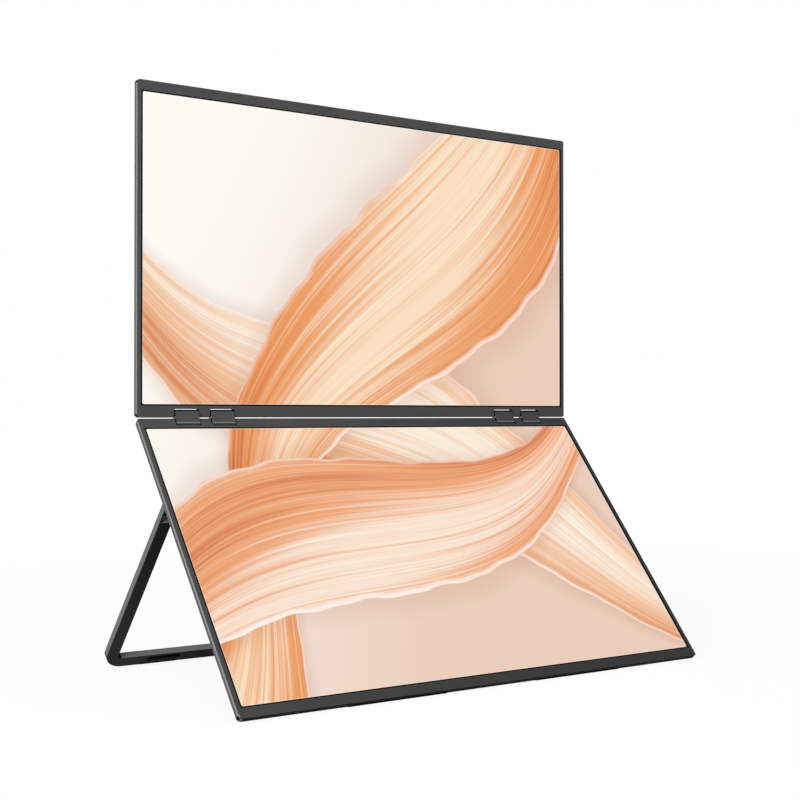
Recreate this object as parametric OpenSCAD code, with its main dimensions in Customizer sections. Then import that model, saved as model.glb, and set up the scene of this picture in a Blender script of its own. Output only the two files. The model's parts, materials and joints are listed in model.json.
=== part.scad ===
// Two slim portable screens stacked one above the other. Paired links hinge them together,
// and a U-shaped stand folds out behind the lower one. Sizes are in millimetres.
// X runs across the screens, Y away from the viewer and Z up. The origin is on the table,
// under the middle of the whole object.

/* [Screens] */
// Width of the picture on each screen
screen_w = 344.4; // [300:0.1:400]
// Height of the picture on each screen
screen_h = 196.4; // [180:0.1:240]
// Corner radius of the bezel's window
window_r = 1; // [0.5:0.1:3]
// Black line between the picture and the bezel
mask_line = 0.3; // [0.1:0.1:0.6]
// Bezel width at the left and right of the picture
side_bezel = 4.1; // [3.5:0.1:7]
// Bezel width at the edge away from the hinge
far_bezel = 7.3; // [6.5:0.1:12]
// Bezel width at the hinged edge
hinge_bezel = 8.3; // [8.3:0.1:14]

/* [Display stack] */
// Thickness of the bezel's face
face_t = 0.4; // [0.3:0.05:0.6]
// Thickness of the glass panel
glass_t = 0.8; // [0.6:0.05:1.2]
// Thickness of the backlight with its light guide
light_t = 1.3; // [1.2:0.05:2]
// How far the glass reaches past the picture, under the bezel
glass_lap = 1; // [0.8:0.1:1.1]
// Width of the strip of light sources beside the light guide
led_w = 1.2; // [0.8:0.1:1.4]
// Thickness of the support plate behind the backlight
plate_t = 0.6; // [0.5:0.1:1]

/* [Housing] */
// Thickness of the rear cover in the slim rim
back_t = 0.8; // [0.7:0.1:1.4]
// Thickness of the outer side walls
wall = 1.2; // [1:0.1:1.6]
// Thickness of the walls of the raised middle
hump_wall = 1; // [0.8:0.1:1.4]
// Depth of the bezel frame's skirt, bevelled all the way at the left and right
skirt = 1; // [0.8:0.1:1.4]
// Width of the bevel as seen on the bezel's face
bevel_face = 0.45; // [0.3:0.05:0.8]
// Small bevel on the front's other two edges
edge_break = 0.2; // [0.1:0.05:0.3]
// Small bevel round the slim rim's back
rim_bevel = 0.15; // [0.1:0.05:0.5]
// Radius of the outer corners
corner_r = 2.5; // [2:0.1:6]
// Corner radius of the raised middle
hump_r = 9; // [6:0.5:14]
// Bevel round the raised middle's back face
hump_bevel = 1; // [0.6:0.1:1]
// Depth of the solid rail along the edge away from the hinge
far_rail = 4.5; // [4:0.1:5]

/* [Screen hinge] */
// Angle between the two screens, 180 when they lie in one plane
screen_angle = 140; // [100:1:180]
// Side edge to the middle of each pair of links
pair_offset = 47.2; // [40:0.1:70]
// Distance between the two links of a pair
link_step = 25.2; // [25:0.1:32]
// Width of a link
link_w = 16.8; // [14:0.1:17]
// Pin centre to the front of a link
link_front = 2.5; // [2:0.1:2.6]
// Pin centre to the back of a link
link_rear = 1.4; // [1.3:0.05:1.5]
// Distance between the two pins of a link
link_pitch = 5.25; // [5.1:0.05:6]
// Upper pin centre to the upper end of a link
reach_up = 2.75; // [1.7:0.05:2.8]
// Lower pin centre to the lower end of a link
reach_down = 2.2; // [1.6:0.05:2.3]
// Radius of the link's long edges
link_r = 1; // [0.8:0.1:1.2]
// Room at each side of a link in its notch
link_gap = 0.5; // [0.45:0.05:1.05]
// Pin centre to the hinged edge
pin_inset = 1.9; // [1.8:0.05:1.95]
// Diameter of the hinge pins
pin_d = 1.5; // [1.2:0.1:1.6]
// Depth of the notches in the upper screen
upper_notch = 5.45; // [5.4:0.05:5.7]
// Depth of the notches in the lower screen
lower_notch = 5.7; // [5:0.05:5.7]
// Radius of a notch's two inner corners
notch_r = 1; // [0.6:0.1:1]
// Cover wall left beside a notch
notch_wall = 1; // [0.8:0.1:1.2]
// Thickness of the hinge bracket's leaf
leaf_t = 1; // [0.9:0.1:1.2]
// Distance from the hinged edge to the end of the leaf
leaf_end = 20; // [18:0.5:24]

/* [Stand] */
// Width of the stand's legs
leg_w = 8.4; // [7.5:0.1:11]
// Width of the stand's crossbar
bar_w = 8.5; // [7.5:0.1:11]
// Thickness of the stand
leg_t = 4.6; // [4.4:0.1:5.4]
// Side edge of the screen to the outer face of a leg
leg_inset = 2.6; // [1:0.1:5]
// Outer corner radius of the stand
stand_r = 13.5; // [9:0.5:14]
// Inner corner radius of the stand
stand_inner_r = 3.5; // [1:0.1:4]
// Hinged edge of the lower screen to the stand's pivot
pivot_drop = 62.5; // [50:0.1:75]
// Folded stand's end to the edge of the lower screen
stand_end_gap = 1.8; // [1.6:0.1:4]
// Diameter of the stand's pivot shafts
shaft_d = 2.5; // [2:0.1:2.6]
// Pivot to the shoulder of the leg's pocket
pocket_len = 13.6; // [13:0.1:18]
// Slope of the pocket's shoulder
shoulder = 0.85; // [0.2:0.05:1]
// Depth of the leg's pocket
pocket_deep = 3; // [2.8:0.1:3.2]
// Wall at each side of the leg's pocket
cheek = 0.9; // [0.8:0.1:1.2]
// Length of the slots in the crossbar
slot_len = 23.5; // [15:0.5:40]
// Height of the slots in the crossbar
slot_w = 3.2; // [2:0.1:3.4]
// Depth of the slots in the crossbar
slot_deep = 1.5; // [1:0.1:2]
// Outer face of the leg to the middle of its slot
slot_offset = 42.6; // [30:0.1:70]

/* [Feet and stance] */
// Lean of the lower screen from upright
lower_lean = 40; // [30:1:50]
// How far the rubber feet stand proud of what carries them
foot_proud = 0.15; // [0.1:0.05:0.3]
// Length of the rubber strips under the lower screen
strip_len = 70; // [40:1:90]
// Middle of the object to the middle of each rubber strip
strip_offset = 70; // [50:1:80]
// Length of the rubber pads under the stand
pad_len = 26; // [15:1:36]
// Middle of the object to the middle of each rubber pad
pad_offset = 134; // [132:1:140]

/* [Boards and sockets] */
// Thickness of the circuit boards
board_t = 0.8; // [0.6:0.1:1.2]
// Width of the driver board
board_w = 68; // [60:1:80]
// Length of the driver board
board_len = 102; // [98:1:106]
// Depth of the sockets' middle behind the front face
socket_depth = 6.35; // [6.2:0.05:6.35]
// Width of the round-ended sockets
usb_w = 8.94; // [8.5:0.02:9.2]
// Height of the round-ended sockets
usb_h = 3.16; // [3:0.02:3.3]
// Depth of the round-ended sockets
usb_len = 7.3; // [6.5:0.1:9]
// Width of the flat video socket
video_w = 11.2; // [10.8:0.1:12]
// Height of the flat video socket
video_h = 3.2; // [3:0.1:3.4]
// Bore of the headphone socket
jack_bore = 3.6; // [3.5:0.05:3.8]
// Length of a side button
button_len = 8; // [6:0.5:10]
// Height of a side button
button_h = 2.4; // [2:0.1:2.6]
// How far a side button can be pressed
button_travel = 0.4; // [0.2:0.05:0.5]

/* [Clearances] */
// Bezel to glass, and other gaps round the display
seat_gap = 0.05; // [0.02:0.01:0.1]
// Backlight to rear cover
back_gap = 0.15; // [0.1:0.05:0.3]
// Gap round parts set in pockets
fit_gap = 0.1; // [0.05:0.05:0.2]
// Radial running clearance of the pins and shafts
run_gap = 0.05; // [0.03:0.01:0.08]
// Folded stand to the slim rim
fold_gap = 0.3; // [0.25:0.05:0.6]
// Folded stand to the side of the raised middle
leg_gap = 0.8; // [0.5:0.1:1.5]
// How far the raised middle stands above the folded stand
hump_proud = 1.2; // [1.2:0.1:2]

/* [Hidden] */
$fn = 64;
over = 1; // how far a cut runs past the face it opens

// The unit's outline and levels. A unit is drawn flat, with its hinged edge along y = 0, its
// body towards +y and its front face at z = 0, so everything behind the face has a negative z.
unit_w = screen_w + 2 * side_bezel;
unit_h = hinge_bezel + screen_h + far_bezel;
glass_top = -face_t - seat_gap;
light_top = glass_top - glass_t;
light_back = light_top - light_t;
inner_back = light_back - back_gap;
rim_back = inner_back - back_t;
rim_t = -rim_back;
hump_back = rim_back - fold_gap - leg_t - hump_proud;
hump_floor = hump_back + hump_wall;
plate_top = inner_back - seat_gap;
plate_back = plate_top - plate_t;

// The raised middle leaves room for the folded stand on three sides
hump_side = leg_inset + leg_w + leg_gap;
hump_w = unit_w - 2 * hump_side;
hump_end = unit_h - stand_end_gap - bar_w - leg_gap;
hump_in_w = hump_w - 2 * hump_wall;
notch_max = max(upper_notch, lower_notch);
rail_y = notch_max + notch_wall;
hump_start = notch_max + 0.25;

// Screen hinge
notch_w = link_w + 2 * link_gap;
knuckle_w = link_step - notch_w - 2 * notch_wall;
pair_half = link_step + knuckle_w / 2;
pair_x = unit_w / 2 - pair_offset;
pin_z = -rim_t / 2;
pin_len = 2 * pair_half - 1;
knuckle_y = 0.15;
knuckle_end = hinge_bezel - glass_lap - 0.15;
knuckle_back = pin_z - pin_d / 2 - 0.5;
neck_skin = 0.6;
leaf_start = hump_start + neck_skin + fit_gap;
leaf_top = plate_top;
leaf_back = leaf_top - leaf_t;
leaf_hole_y = leaf_end - 6;
leaf_holes = [-pair_half + 8, 0, pair_half - 8];

// Small screws
screw_d = 1.6;
screw_head_d = 3.2;
screw_head_h = 0.8;
boss_d = 4.6;
screw_play = 0.04;
screw_drive = 1.5;

// Boards and sockets. The driver board lies midway between the stand's housings and the cover
// screws near the far end.
wall_x = hump_w / 2;
housing_y = [-8, 8];
cover_hole_y = [leaf_end + 24, hump_end - 9];
cover_hole_x = [-(wall_x - 9), 0, wall_x - 9];
board_start = (pivot_drop + housing_y[1] + cover_hole_y[1] - boss_d / 2 - board_len) / 2;
board_x = wall_x - hump_wall - 0.4 - board_w / 2;
board_face = -socket_depth + 0.35 + board_t / 2;
board_back = board_face - board_t;
socket_z = -socket_depth;
usb_pitch = 14;
usb_y = board_start + 11;
video_y = usb_y + usb_pitch + 15;
jack_y = video_y + 14;
power_y = jack_y + 22;
menu_y = power_y + 13;
socket_wall = 0.3;
video_len = 7.5;
jack_nose_d = 4.2;
jack_body = [12, 6.2, 4.4];
jack_x = wall_x - hump_wall - 0.4;
button_proud = 0.5;
flange_t = 0.8;
flange_lap = 1;
flange_x = wall_x - hump_wall - 0.2;
switch_x = flange_x - flange_t - button_travel - 0.1;
switch_size = [3.6, 6, 1.9];
panel_board_y = leaf_end + 5;
panel_board_w = 10;
panel_board_len = 240;
ribbon_w = 18;
ribbon_t = 0.2;
ribbon_top = plate_back - board_t - seat_gap;
ribbon_end = board_start + 9;
ribbon_x = board_x - board_w / 2 + 4 + ribbon_w / 2;
speaker_size = [36, 13, 3.4];
speaker_x = 60;
speaker_y = hump_end - 22;
board_holes = [
    [board_x - board_w / 2 + 27, board_start + 5],
    [board_x + board_w / 2 - 14, board_start + 5],
    [board_x - board_w / 2 + 4, board_start + board_len - 4],
    [board_x + board_w / 2 - 14, board_start + board_len - 4]
];

// Stand, drawn with its pivot on the x axis, its legs towards +y and its front towards +z
pivot_back = rim_back - fold_gap - leg_t / 2;
stand_len = unit_h - pivot_drop - stand_end_gap;
leg_x = unit_w / 2 - leg_inset - leg_w / 2;
pocket_w = leg_w - 2 * cheek;
leaf_plate_t = 1.2;
leaf_knuckle_d = shaft_d + 1.7;
housing_d = shaft_d + 1.9;
housing_len = 15.5;
disc_t = 0.4;
disc_d = 4.4;
disc_count = 3;
shaft_in = housing_len + disc_count * disc_t + 1.2;
leaf_plate_end = pocket_len - shoulder - 2 * fit_gap;
leaf_hole_at = [leaf_knuckle_d / 2 + 3.5, leaf_plate_end - 1.9];

// Stance. The lower unit leans back, the stand reaches the table, and the upper unit follows
// the angle between the screens. The links halve that angle.
upper_lean = lower_lean + screen_angle - 180;
link_lean = (lower_lean + upper_lean) / 2;
function tilt(lean, y, z) = [y * sin(lean) - z * cos(lean), y * cos(lean) + z * sin(lean)];
lower_z = unit_h * cos(lower_lean) + rim_t * sin(lower_lean) + foot_proud;
pivot_rel = tilt(lower_lean, -pivot_drop, pivot_back);
foot_reach = norm([stand_len, leg_t / 2]);
stand_lean = atan2(leg_t / 2, stand_len) + acos((lower_z + pivot_rel[1] - foot_proud) / foot_reach);
stand_open = lower_lean + stand_lean;
front_y = tilt(lower_lean, edge_break - unit_h, 0)[0];
rear_y = pivot_rel[0] + stand_len * sin(stand_lean) + leg_t / 2 * cos(stand_lean);
lower_y = -(front_y + rear_y) / 2;
lower_pin = [lower_y, lower_z] + tilt(lower_lean, -pin_inset, pin_z);
upper_pin = lower_pin + tilt(link_lean, link_pitch, 0);
upper_at = upper_pin - tilt(upper_lean, pin_inset, pin_z);
pivot_at = [lower_y, lower_z] + pivot_rel;
echo(lower_pin = lower_pin, upper_pin = upper_pin, stand_pivot = pivot_at, stand_open = stand_open);
echo(front = lower_y + front_y, rear = lower_y + rear_y, unit = [unit_w, unit_h], depth = hump_back);
echo(upper_at = upper_at, lower_at = [lower_y, lower_z], stand_lean = stand_lean, wall_x = wall_x);

// Places
module place_upper() {
    translate([0, upper_at[0], upper_at[1]])
        rotate([90 - upper_lean, 0, 0])
            children();
}

module place_lower() {
    translate([0, lower_y, lower_z])
        rotate([90 - lower_lean, 0, 0])
            mirror([0, 1, 0])
                children();
}

module place_stand() {
    place_lower()
        translate([0, pivot_drop, pivot_back])
            rotate([-stand_open, 0, 0])
                children();
}

module place_link() {
    translate([0, lower_pin[0], lower_pin[1]])
        rotate([90 - link_lean, 0, 0])
            children();
}

// Shared outlines and cutters

// Rectangle with round corners, its lower edge on y = 0 and its middle on x = 0
module round_rect(w, h, r) {
    translate([-w / 2 + r, 0]) square([w - 2 * r, h]);
    translate([-w / 2, r]) square([w, h - 2 * r]);
    for (x = [-w / 2 + r, w / 2 - r])
        for (y = [r, h - r])
            translate([x, y]) circle(r);
}

// Rectangle with round ends, centred
module stadium(w, h) {
    square([w - h, h], center = true);
    for (x = [-1, 1])
        translate([x * (w - h) / 2, 0]) circle(d = h);
}

// Plate of a round_rect between two levels
module slab(w, h, r, low, high) {
    translate([0, 0, low]) linear_extrude(high - low) round_rect(w, h, r);
}

// Section that cuts a bevel off an edge at the origin, inset across and drop deep
module bevel_section(inset, drop) {
    polygon([[-1.5 * inset, 0.5 * drop], [0.5 * inset, -1.5 * drop], [0.5 * inset, 0.5 * drop]]);
}

// Cutter for a bevel round the top edge of a round_rect plate
module bevel_ring(w, h, r, inset, drop) {
    translate([0, h / 2, 0])
        for (k = [0:3]) {
            out = (k % 2 == 0 ? w : h) / 2;
            run = k % 2 == 0 ? h : w;
            rotate(90 * k) {
                translate([out, run / 2 - r, 0])
                    rotate([90, 0, 0])
                        linear_extrude(run - 2 * r) bevel_section(inset, drop);
                translate([out - r, run / 2 - r, 0])
                    rotate_extrude(angle = 90)
                        translate([r, 0]) bevel_section(inset, drop);
            }
        }
}

// Box given by its lowest and highest corners
module span(low, high) {
    translate(low) cube(high - low);
}

// Bar of a section in y and z, running along x from low to high
module bar_x(low, high) {
    translate([low, 0, 0]) rotate([90, 0, 90]) linear_extrude(high - low) children();
}

// Rod along x
module rod_x(low, high, d) {
    translate([low, 0, 0]) rotate([0, 90, 0]) cylinder(h = high - low, d = d);
}

// Countersunk screw with its head's face at z = 0, its tip down and a six-sided drive
module screw(len) {
    difference() {
        union() {
            translate([0, 0, -screw_head_h])
                cylinder(h = screw_head_h, d1 = screw_d - 2 * screw_play, d2 = screw_head_d - 2 * screw_play);
            translate([0, 0, -len]) cylinder(h = len - screw_head_h, d = screw_d - 2 * screw_play);
        }
        translate([0, 0, -screw_head_h / 2]) cylinder(h = over, d = screw_drive, $fn = 6);
    }
}

// Hole for a countersunk screw that starts at z = 0
module screw_hole(len) {
    translate([0, 0, -screw_head_h]) cylinder(h = screw_head_h, d1 = screw_d, d2 = screw_head_d);
    cylinder(h = over, d = screw_head_d);
    translate([0, 0, -len]) cylinder(h = len, d = screw_d);
}

// The four notches of a unit, cut right through it
module link_notches(notch) {
    for (pair = [-1, 1])
        for (side = [-1, 1])
            translate([pair * pair_x + side * link_step / 2, 0, 0])
                translate([0, -2 * notch_r - over, hump_back - over])
                    linear_extrude(2 * over - hump_back) round_rect(notch_w, notch + 2 * notch_r + over, notch_r);
}

// Parts of one unit

// Front frame: a thin face with a skirt, open at the window and at the links
module bezel_frame(notch) {
    color([0.29, 0.29, 0.3])
        difference() {
            slab(unit_w, unit_h, corner_r, -skirt, 0);
            for (side = [-1, 1])
                mirror([side < 0 ? 1 : 0, 0, 0])
                    translate([unit_w / 2, unit_h + over, 0])
                        rotate([90, 0, 0])
                            linear_extrude(unit_h + 2 * over) bevel_section(bevel_face, skirt);
            bar_x(-unit_w, unit_w) {
                mirror([1, 0]) bevel_section(edge_break, edge_break);
                translate([unit_h, 0]) bevel_section(edge_break, edge_break);
            }
            translate([0, wall, 0])
                slab(unit_w - 2 * wall, unit_h - 2 * wall, corner_r - wall, -skirt - over, -face_t);
            translate([0, hinge_bezel - mask_line, 0])
                slab(screen_w + 2 * mask_line, screen_h + 2 * mask_line, window_r, -skirt - over, over);
            for (pair = [-1, 1])
                translate([pair * pair_x, 0, 0])
                    span([-pair_half - wall, -over, -skirt - over], [pair_half + wall, rail_y, -face_t]);
            link_notches(notch);
        }
}

// Outline of the steel bracket that holds the pins of one pair of links. Grown by a gap and
// opened to the front, it also cuts the bracket's pocket.
module bracket_form(grow, top) {
    for (k = [-1:1])
        translate([k * link_step, 0, 0]) {
            span([-knuckle_w / 2 - grow, knuckle_y - (grow > 0 ? over : 0), knuckle_back - grow],
                [knuckle_w / 2 + grow, knuckle_end + grow, top]);
            span([-knuckle_w / 2 - grow, leaf_start - grow, leaf_back - grow],
                [knuckle_w / 2 + grow, knuckle_end + grow, top]);
        }
    span([-pair_half - grow, leaf_start - grow, leaf_back - grow],
        [pair_half + grow, leaf_end + grow, leaf_top + 2 * grow]);
}

// Rear cover: slim rim, raised middle, solid rails at two edges, hinge blocks and bosses
module rear_cover(notch) {
    hump_len = hump_end - hump_start;
    color([0.27, 0.27, 0.28])
        difference() {
            union() {
                difference() {
                    union() {
                        slab(unit_w, unit_h, corner_r, rim_back, -skirt);
                        translate([0, hump_start, 0])
                            slab(hump_w, hump_len, hump_r, hump_back, rim_back + back_t / 2);
                        for (pair = [-1, 1])
                            translate([pair * pair_x, 0, 0])
                                span([-pair_half - wall + fit_gap, 0, rim_back + back_t / 2],
                                    [pair_half + wall - fit_gap, rail_y, -face_t]);
                    }
                    translate([0, rail_y, 0])
                        slab(unit_w - 2 * wall, unit_h - rail_y - far_rail, 1, inner_back, over);
                    translate([0, hump_start + hump_wall, 0])
                        slab(hump_in_w, hump_len - 2 * hump_wall, hump_r - hump_wall, hump_floor, inner_back + over);
                }
                for (pair = [-1, 1])
                    for (x = leaf_holes)
                        translate([pair * pair_x + x, leaf_hole_y, hump_floor - hump_wall / 2])
                            cylinder(h = leaf_back - seat_gap - hump_floor + hump_wall / 2, d = boss_d);
            }
            translate([0, 0, rim_back])
                mirror([0, 0, 1])
                    bevel_ring(unit_w, unit_h, corner_r, rim_bevel, rim_bevel);
            translate([0, hump_start, hump_back])
                mirror([0, 0, 1])
                    bevel_ring(hump_w, hump_len, hump_r, hump_bevel, hump_bevel);
            link_notches(notch);
            for (pair = [-1, 1])
                translate([pair * pair_x, 0, 0]) {
                    bracket_form(fit_gap, over);
                    translate([0, pin_inset, pin_z]) {
                        rod_x(-pair_half, pair_half, pin_d + 2 * fit_gap);
                        span([-pair_half, -pin_d / 2 - fit_gap, 0], [pair_half, pin_d / 2 + fit_gap, rim_t]);
                    }
                    for (x = leaf_holes)
                        translate([x, leaf_hole_y, leaf_back - 3.2]) cylinder(h = 4, d = screw_d);
                }
            for (x = cover_hole_x)
                for (y = cover_hole_y)
                    translate([x, y, hump_back]) mirror([0, 0, 1]) screw_hole(hump_wall + over);
            socket_openings();
            back_slots();
        }
}

// Openings in the raised middle's right wall for the sockets and buttons
module socket_openings() {
    translate([wall_x - hump_wall - over, 0, socket_z]) {
        for (k = [0, 1])
            translate([0, usb_y + k * usb_pitch, 0])
                rotate([90, 0, 90])
                    linear_extrude(hump_wall + 2 * over) stadium(usb_w + 2 * fit_gap, usb_h + 2 * fit_gap);
        translate([0, video_y, 0])
            span([0, -video_w / 2 - fit_gap, -video_h / 2 - fit_gap],
                [hump_wall + 2 * over, video_w / 2 + fit_gap, video_h / 2 + fit_gap]);
        translate([0, jack_y, 0]) rod_x(0, hump_wall + 2 * over, jack_nose_d + 2 * fit_gap);
        for (y = [power_y, menu_y])
            translate([0, y, 0])
                span([0, -button_len / 2 - fit_gap, -button_h / 2 - fit_gap],
                    [hump_wall + 2 * over, button_len / 2 + fit_gap, button_h / 2 + fit_gap]);
    }
}

// Cooling slots and speaker slots through the back
module back_slots() {
    vent_count = 16;
    vent_pitch = 6;
    for (k = [0:vent_count - 1])
        translate([(k - (vent_count - 1) / 2) * vent_pitch, leaf_end + 45, hump_back - over])
            linear_extrude(hump_wall + 2 * over) rotate(90) stadium(18, 1.8);
    grille_count = 9;
    grille_pitch = 3.2;
    for (side = [-1, 1])
        for (k = [0:grille_count - 1])
            translate([side * speaker_x + (k - (grille_count - 1) / 2) * grille_pitch,
                    speaker_y + speaker_size[1] / 2, hump_back - over])
                linear_extrude(hump_wall + 2 * over) rotate(90) stadium(9, 1.2);
}

// Glass panel with the picture
module lcd_panel() {
    color([0.95, 0.8, 0.68])
        span([-screen_w / 2 - glass_lap, hinge_bezel - glass_lap, light_top],
            [screen_w / 2 + glass_lap, hinge_bezel + screen_h + glass_lap, glass_top]);
}

// Light guide and films
module backlight() {
    color([0.92, 0.93, 0.95])
        span([-screen_w / 2 - glass_lap + seat_gap, hinge_bezel - glass_lap + led_w + 2 * seat_gap, light_back],
            [screen_w / 2 + glass_lap - seat_gap, hinge_bezel + screen_h + glass_lap - seat_gap, light_top]);
}

// Strip of light sources along the hinged edge of the light guide
module led_bar() {
    color([0.9, 0.88, 0.6])
        span([-screen_w / 2, hinge_bezel - glass_lap + seat_gap, light_back + seat_gap],
            [screen_w / 2, hinge_bezel - glass_lap + seat_gap + led_w, light_top]);
}

// Support plate behind the backlight, with a pillar for each cover and board screw
module support_plate() {
    edge = 1.5;
    color([0.7, 0.71, 0.72])
        difference() {
            union() {
                translate([0, leaf_end + 2, 0])
                    slab(hump_in_w - 2 * edge, hump_end - leaf_end - 2 - hump_wall - edge, hump_r - edge,
                        plate_back, plate_top);
                for (x = cover_hole_x)
                    for (y = cover_hole_y)
                        translate([x, y, hump_floor + seat_gap])
                            cylinder(h = plate_back - hump_floor - seat_gap + plate_t / 2, d = boss_d);
                for (p = board_holes)
                    translate([p[0], p[1], board_face])
                        cylinder(h = plate_back - board_face + plate_t / 2, d = boss_d);
            }
            for (x = cover_hole_x)
                for (y = cover_hole_y)
                    translate([x, y, hump_floor - over]) cylinder(h = 5, d = screw_d);
            for (p = board_holes)
                translate([p[0], p[1], board_face - over]) cylinder(h = 2.2, d = screw_d);
        }
}

// Narrow board that drives the glass panel, bonded to the support plate
module panel_board() {
    color([0.1, 0.35, 0.2]) {
        translate([0, panel_board_y, plate_back - board_t])
            linear_extrude(board_t) round_rect(panel_board_len, panel_board_w, 1);
        for (x = [-90, -45, 0, 45])
            translate([x, panel_board_y + 3, plate_back - board_t])
                span([-7, 0, -0.9], [7, 4, 0.1]);
    }
}

// Flat cable between the two boards
module ribbon_cable() {
    color([0.85, 0.85, 0.87])
        span([ribbon_x - ribbon_w / 2, panel_board_y + 2, ribbon_top - ribbon_t],
            [ribbon_x + ribbon_w / 2, ribbon_end, ribbon_top]);
}

// Driver board with its chips and the flat cable's connector, notched at one edge for the sockets
module driver_board() {
    right = board_x + board_w / 2;
    color([0.1, 0.35, 0.2])
        difference() {
            union() {
                span([board_x - board_w / 2, board_start, board_back], [right, board_start + board_len, board_face]);
                span([ribbon_x - ribbon_w / 2 - 1.5, ribbon_end - 7, board_face - 0.1],
                    [ribbon_x + ribbon_w / 2 + 1.5, ribbon_end, ribbon_top - ribbon_t - seat_gap]);
                translate([board_x - 12, board_start + 34, board_back])
                    span([-8, -8, -1], [8, 8, 0.1]);
                translate([board_x - 14, board_start + 60, board_back])
                    span([-5, -4, -0.9], [5, 4, 0.1]);
                translate([board_x + 6, board_start + 62, board_back])
                    span([-4, -3, -0.9], [4, 3, 0.1]);
                for (k = [0:3])
                    translate([board_x - 18 + 10 * k, board_start + board_len - 20, board_back - 1.6])
                        cylinder(h = 1.7, d = 6);
            }
            for (k = [0, 1])
                translate([0, usb_y + k * usb_pitch, 0])
                    span([wall_x - usb_len - fit_gap, -usb_w / 2 - fit_gap, board_back - 3],
                        [right + over, usb_w / 2 + fit_gap, board_face + over]);
            translate([0, video_y, 0])
                span([wall_x - video_len - fit_gap, -video_w / 2 - fit_gap, board_back - 3],
                    [right + over, video_w / 2 + fit_gap, board_face + over]);
            translate([0, jack_y, 0])
                span([jack_x - jack_body[0] - fit_gap, -jack_body[1] / 2 - fit_gap, board_back - 3],
                    [right + over, jack_body[1] / 2 + fit_gap, board_face + over]);
            for (y = [power_y, menu_y])
                translate([0, y, 0])
                    span([switch_x, -button_len / 2 - flange_lap - 0.5, board_back - 3],
                        [right + over, button_len / 2 + flange_lap + 0.5, board_face + over]);
            for (p = board_holes)
                translate([p[0], p[1], board_back - over]) cylinder(h = board_t + 2 * over, d = screw_d + 0.2);
        }
}

// Two round-ended sockets, each a shell with a tongue
module usb_sockets() {
    color([0.75, 0.76, 0.78])
        for (k = [0, 1])
            translate([wall_x - usb_len, usb_y + k * usb_pitch, socket_z])
                rotate([90, 0, 90]) {
                    difference() {
                        linear_extrude(usb_len) stadium(usb_w, usb_h);
                        translate([0, 0, 1])
                            linear_extrude(usb_len) stadium(usb_w - 2 * socket_wall, usb_h - 2 * socket_wall);
                    }
                    translate([0, 0, 3])
                        cube([usb_w - 2.3, 0.7, 5.5], center = true);
                }
}

// Flat video socket with sloped lower corners
module video_socket() {
    w = video_w / 2 - socket_wall;
    h = video_h / 2 - socket_wall;
    color([0.75, 0.76, 0.78])
        translate([wall_x - video_len, video_y, socket_z])
            rotate([90, 0, 90]) {
                difference() {
                    linear_extrude(video_len) square([video_w, video_h], center = true);
                    translate([0, 0, 1])
                        linear_extrude(video_len)
                            polygon([[-w, h], [-w, -h / 3], [-w + 1.2, -h], [w - 1.2, -h], [w, -h / 3], [w, h]]);
                }
                translate([0, 0.2, 3])
                    cube([video_w - 3.2, 0.8, 5.5], center = true);
            }
}

// Headphone socket: body with a round nose and a bore
module headphone_socket() {
    color([0.12, 0.12, 0.13])
        translate([jack_x, jack_y, socket_z])
            difference() {
                union() {
                    span([-jack_body[0], -jack_body[1] / 2, -jack_body[2] / 2],
                        [0, jack_body[1] / 2, jack_body[2] / 2]);
                    rod_x(-1, wall_x - jack_x, jack_nose_d);
                }
                rod_x(-jack_body[0] + 1.5, hump_wall + over, jack_bore);
            }
}

// Pair of flat speakers on the raised middle's floor
module speakers() {
    color([0.13, 0.13, 0.14])
        for (side = [-1, 1])
            translate([side * speaker_x, speaker_y, hump_floor + seat_gap])
                difference() {
                    linear_extrude(speaker_size[2]) round_rect(speaker_size[0], speaker_size[1], 2);
                    translate([0, 2, -over])
                        linear_extrude(over + 0.6) round_rect(speaker_size[0] - 5, speaker_size[1] - 4, 1.5);
                }
}

// Steel brackets that hold the hinge pins
module hinge_brackets() {
    color([0.55, 0.56, 0.58])
        for (pair = [-1, 1])
            translate([pair * pair_x, 0, 0])
                difference() {
                    bracket_form(0, -face_t - fit_gap);
                    translate([0, pin_inset, pin_z])
                        rod_x(-pair_half - over, pair_half + over, pin_d + 2 * screw_play);
                    for (x = leaf_holes)
                        translate([x, leaf_hole_y, leaf_top]) screw_hole(leaf_t + over);
                }
}

// One long pin through each bracket and its pair of links
module hinge_pins() {
    color([0.8, 0.8, 0.82])
        for (pair = [-1, 1])
            translate([pair * pair_x, pin_inset, pin_z]) rod_x(-pin_len / 2, pin_len / 2, pin_d);
}

// Screws that hold the brackets to the cover's bosses
module bracket_screws() {
    color([0.2, 0.2, 0.21])
        for (pair = [-1, 1])
            for (x = leaf_holes)
                translate([pair * pair_x + x, leaf_hole_y, leaf_top]) screw(leaf_t + 2.8);
}

// Screws through the back into the support plate's pillars
module cover_screws() {
    color([0.2, 0.2, 0.21])
        for (x = cover_hole_x)
            for (y = cover_hole_y)
                translate([x, y, hump_back]) mirror([0, 0, 1]) screw(hump_wall + 3);
}

// Screws that hold the driver board to the support plate's pillars
module board_screws() {
    color([0.2, 0.2, 0.21])
        for (p = board_holes)
            translate([p[0], p[1], board_back]) {
                translate([0, 0, -0.7]) cylinder(h = 0.7, d = screw_head_d);
                cylinder(h = board_t + 1, d = screw_d - 2 * screw_play);
            }
}

// Side button with a flange that keeps it behind the wall
module side_button(y) {
    color([0.2, 0.2, 0.21])
        translate([0, y, socket_z]) {
            span([flange_x - 0.1, -button_len / 2, -button_h / 2],
                [wall_x + button_proud, button_len / 2, button_h / 2]);
            span([flange_x - flange_t, -button_len / 2 - flange_lap, -button_h / 2 - flange_lap / 2],
                [flange_x, button_len / 2 + flange_lap, button_h / 2 + flange_lap / 2]);
        }
}

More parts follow.
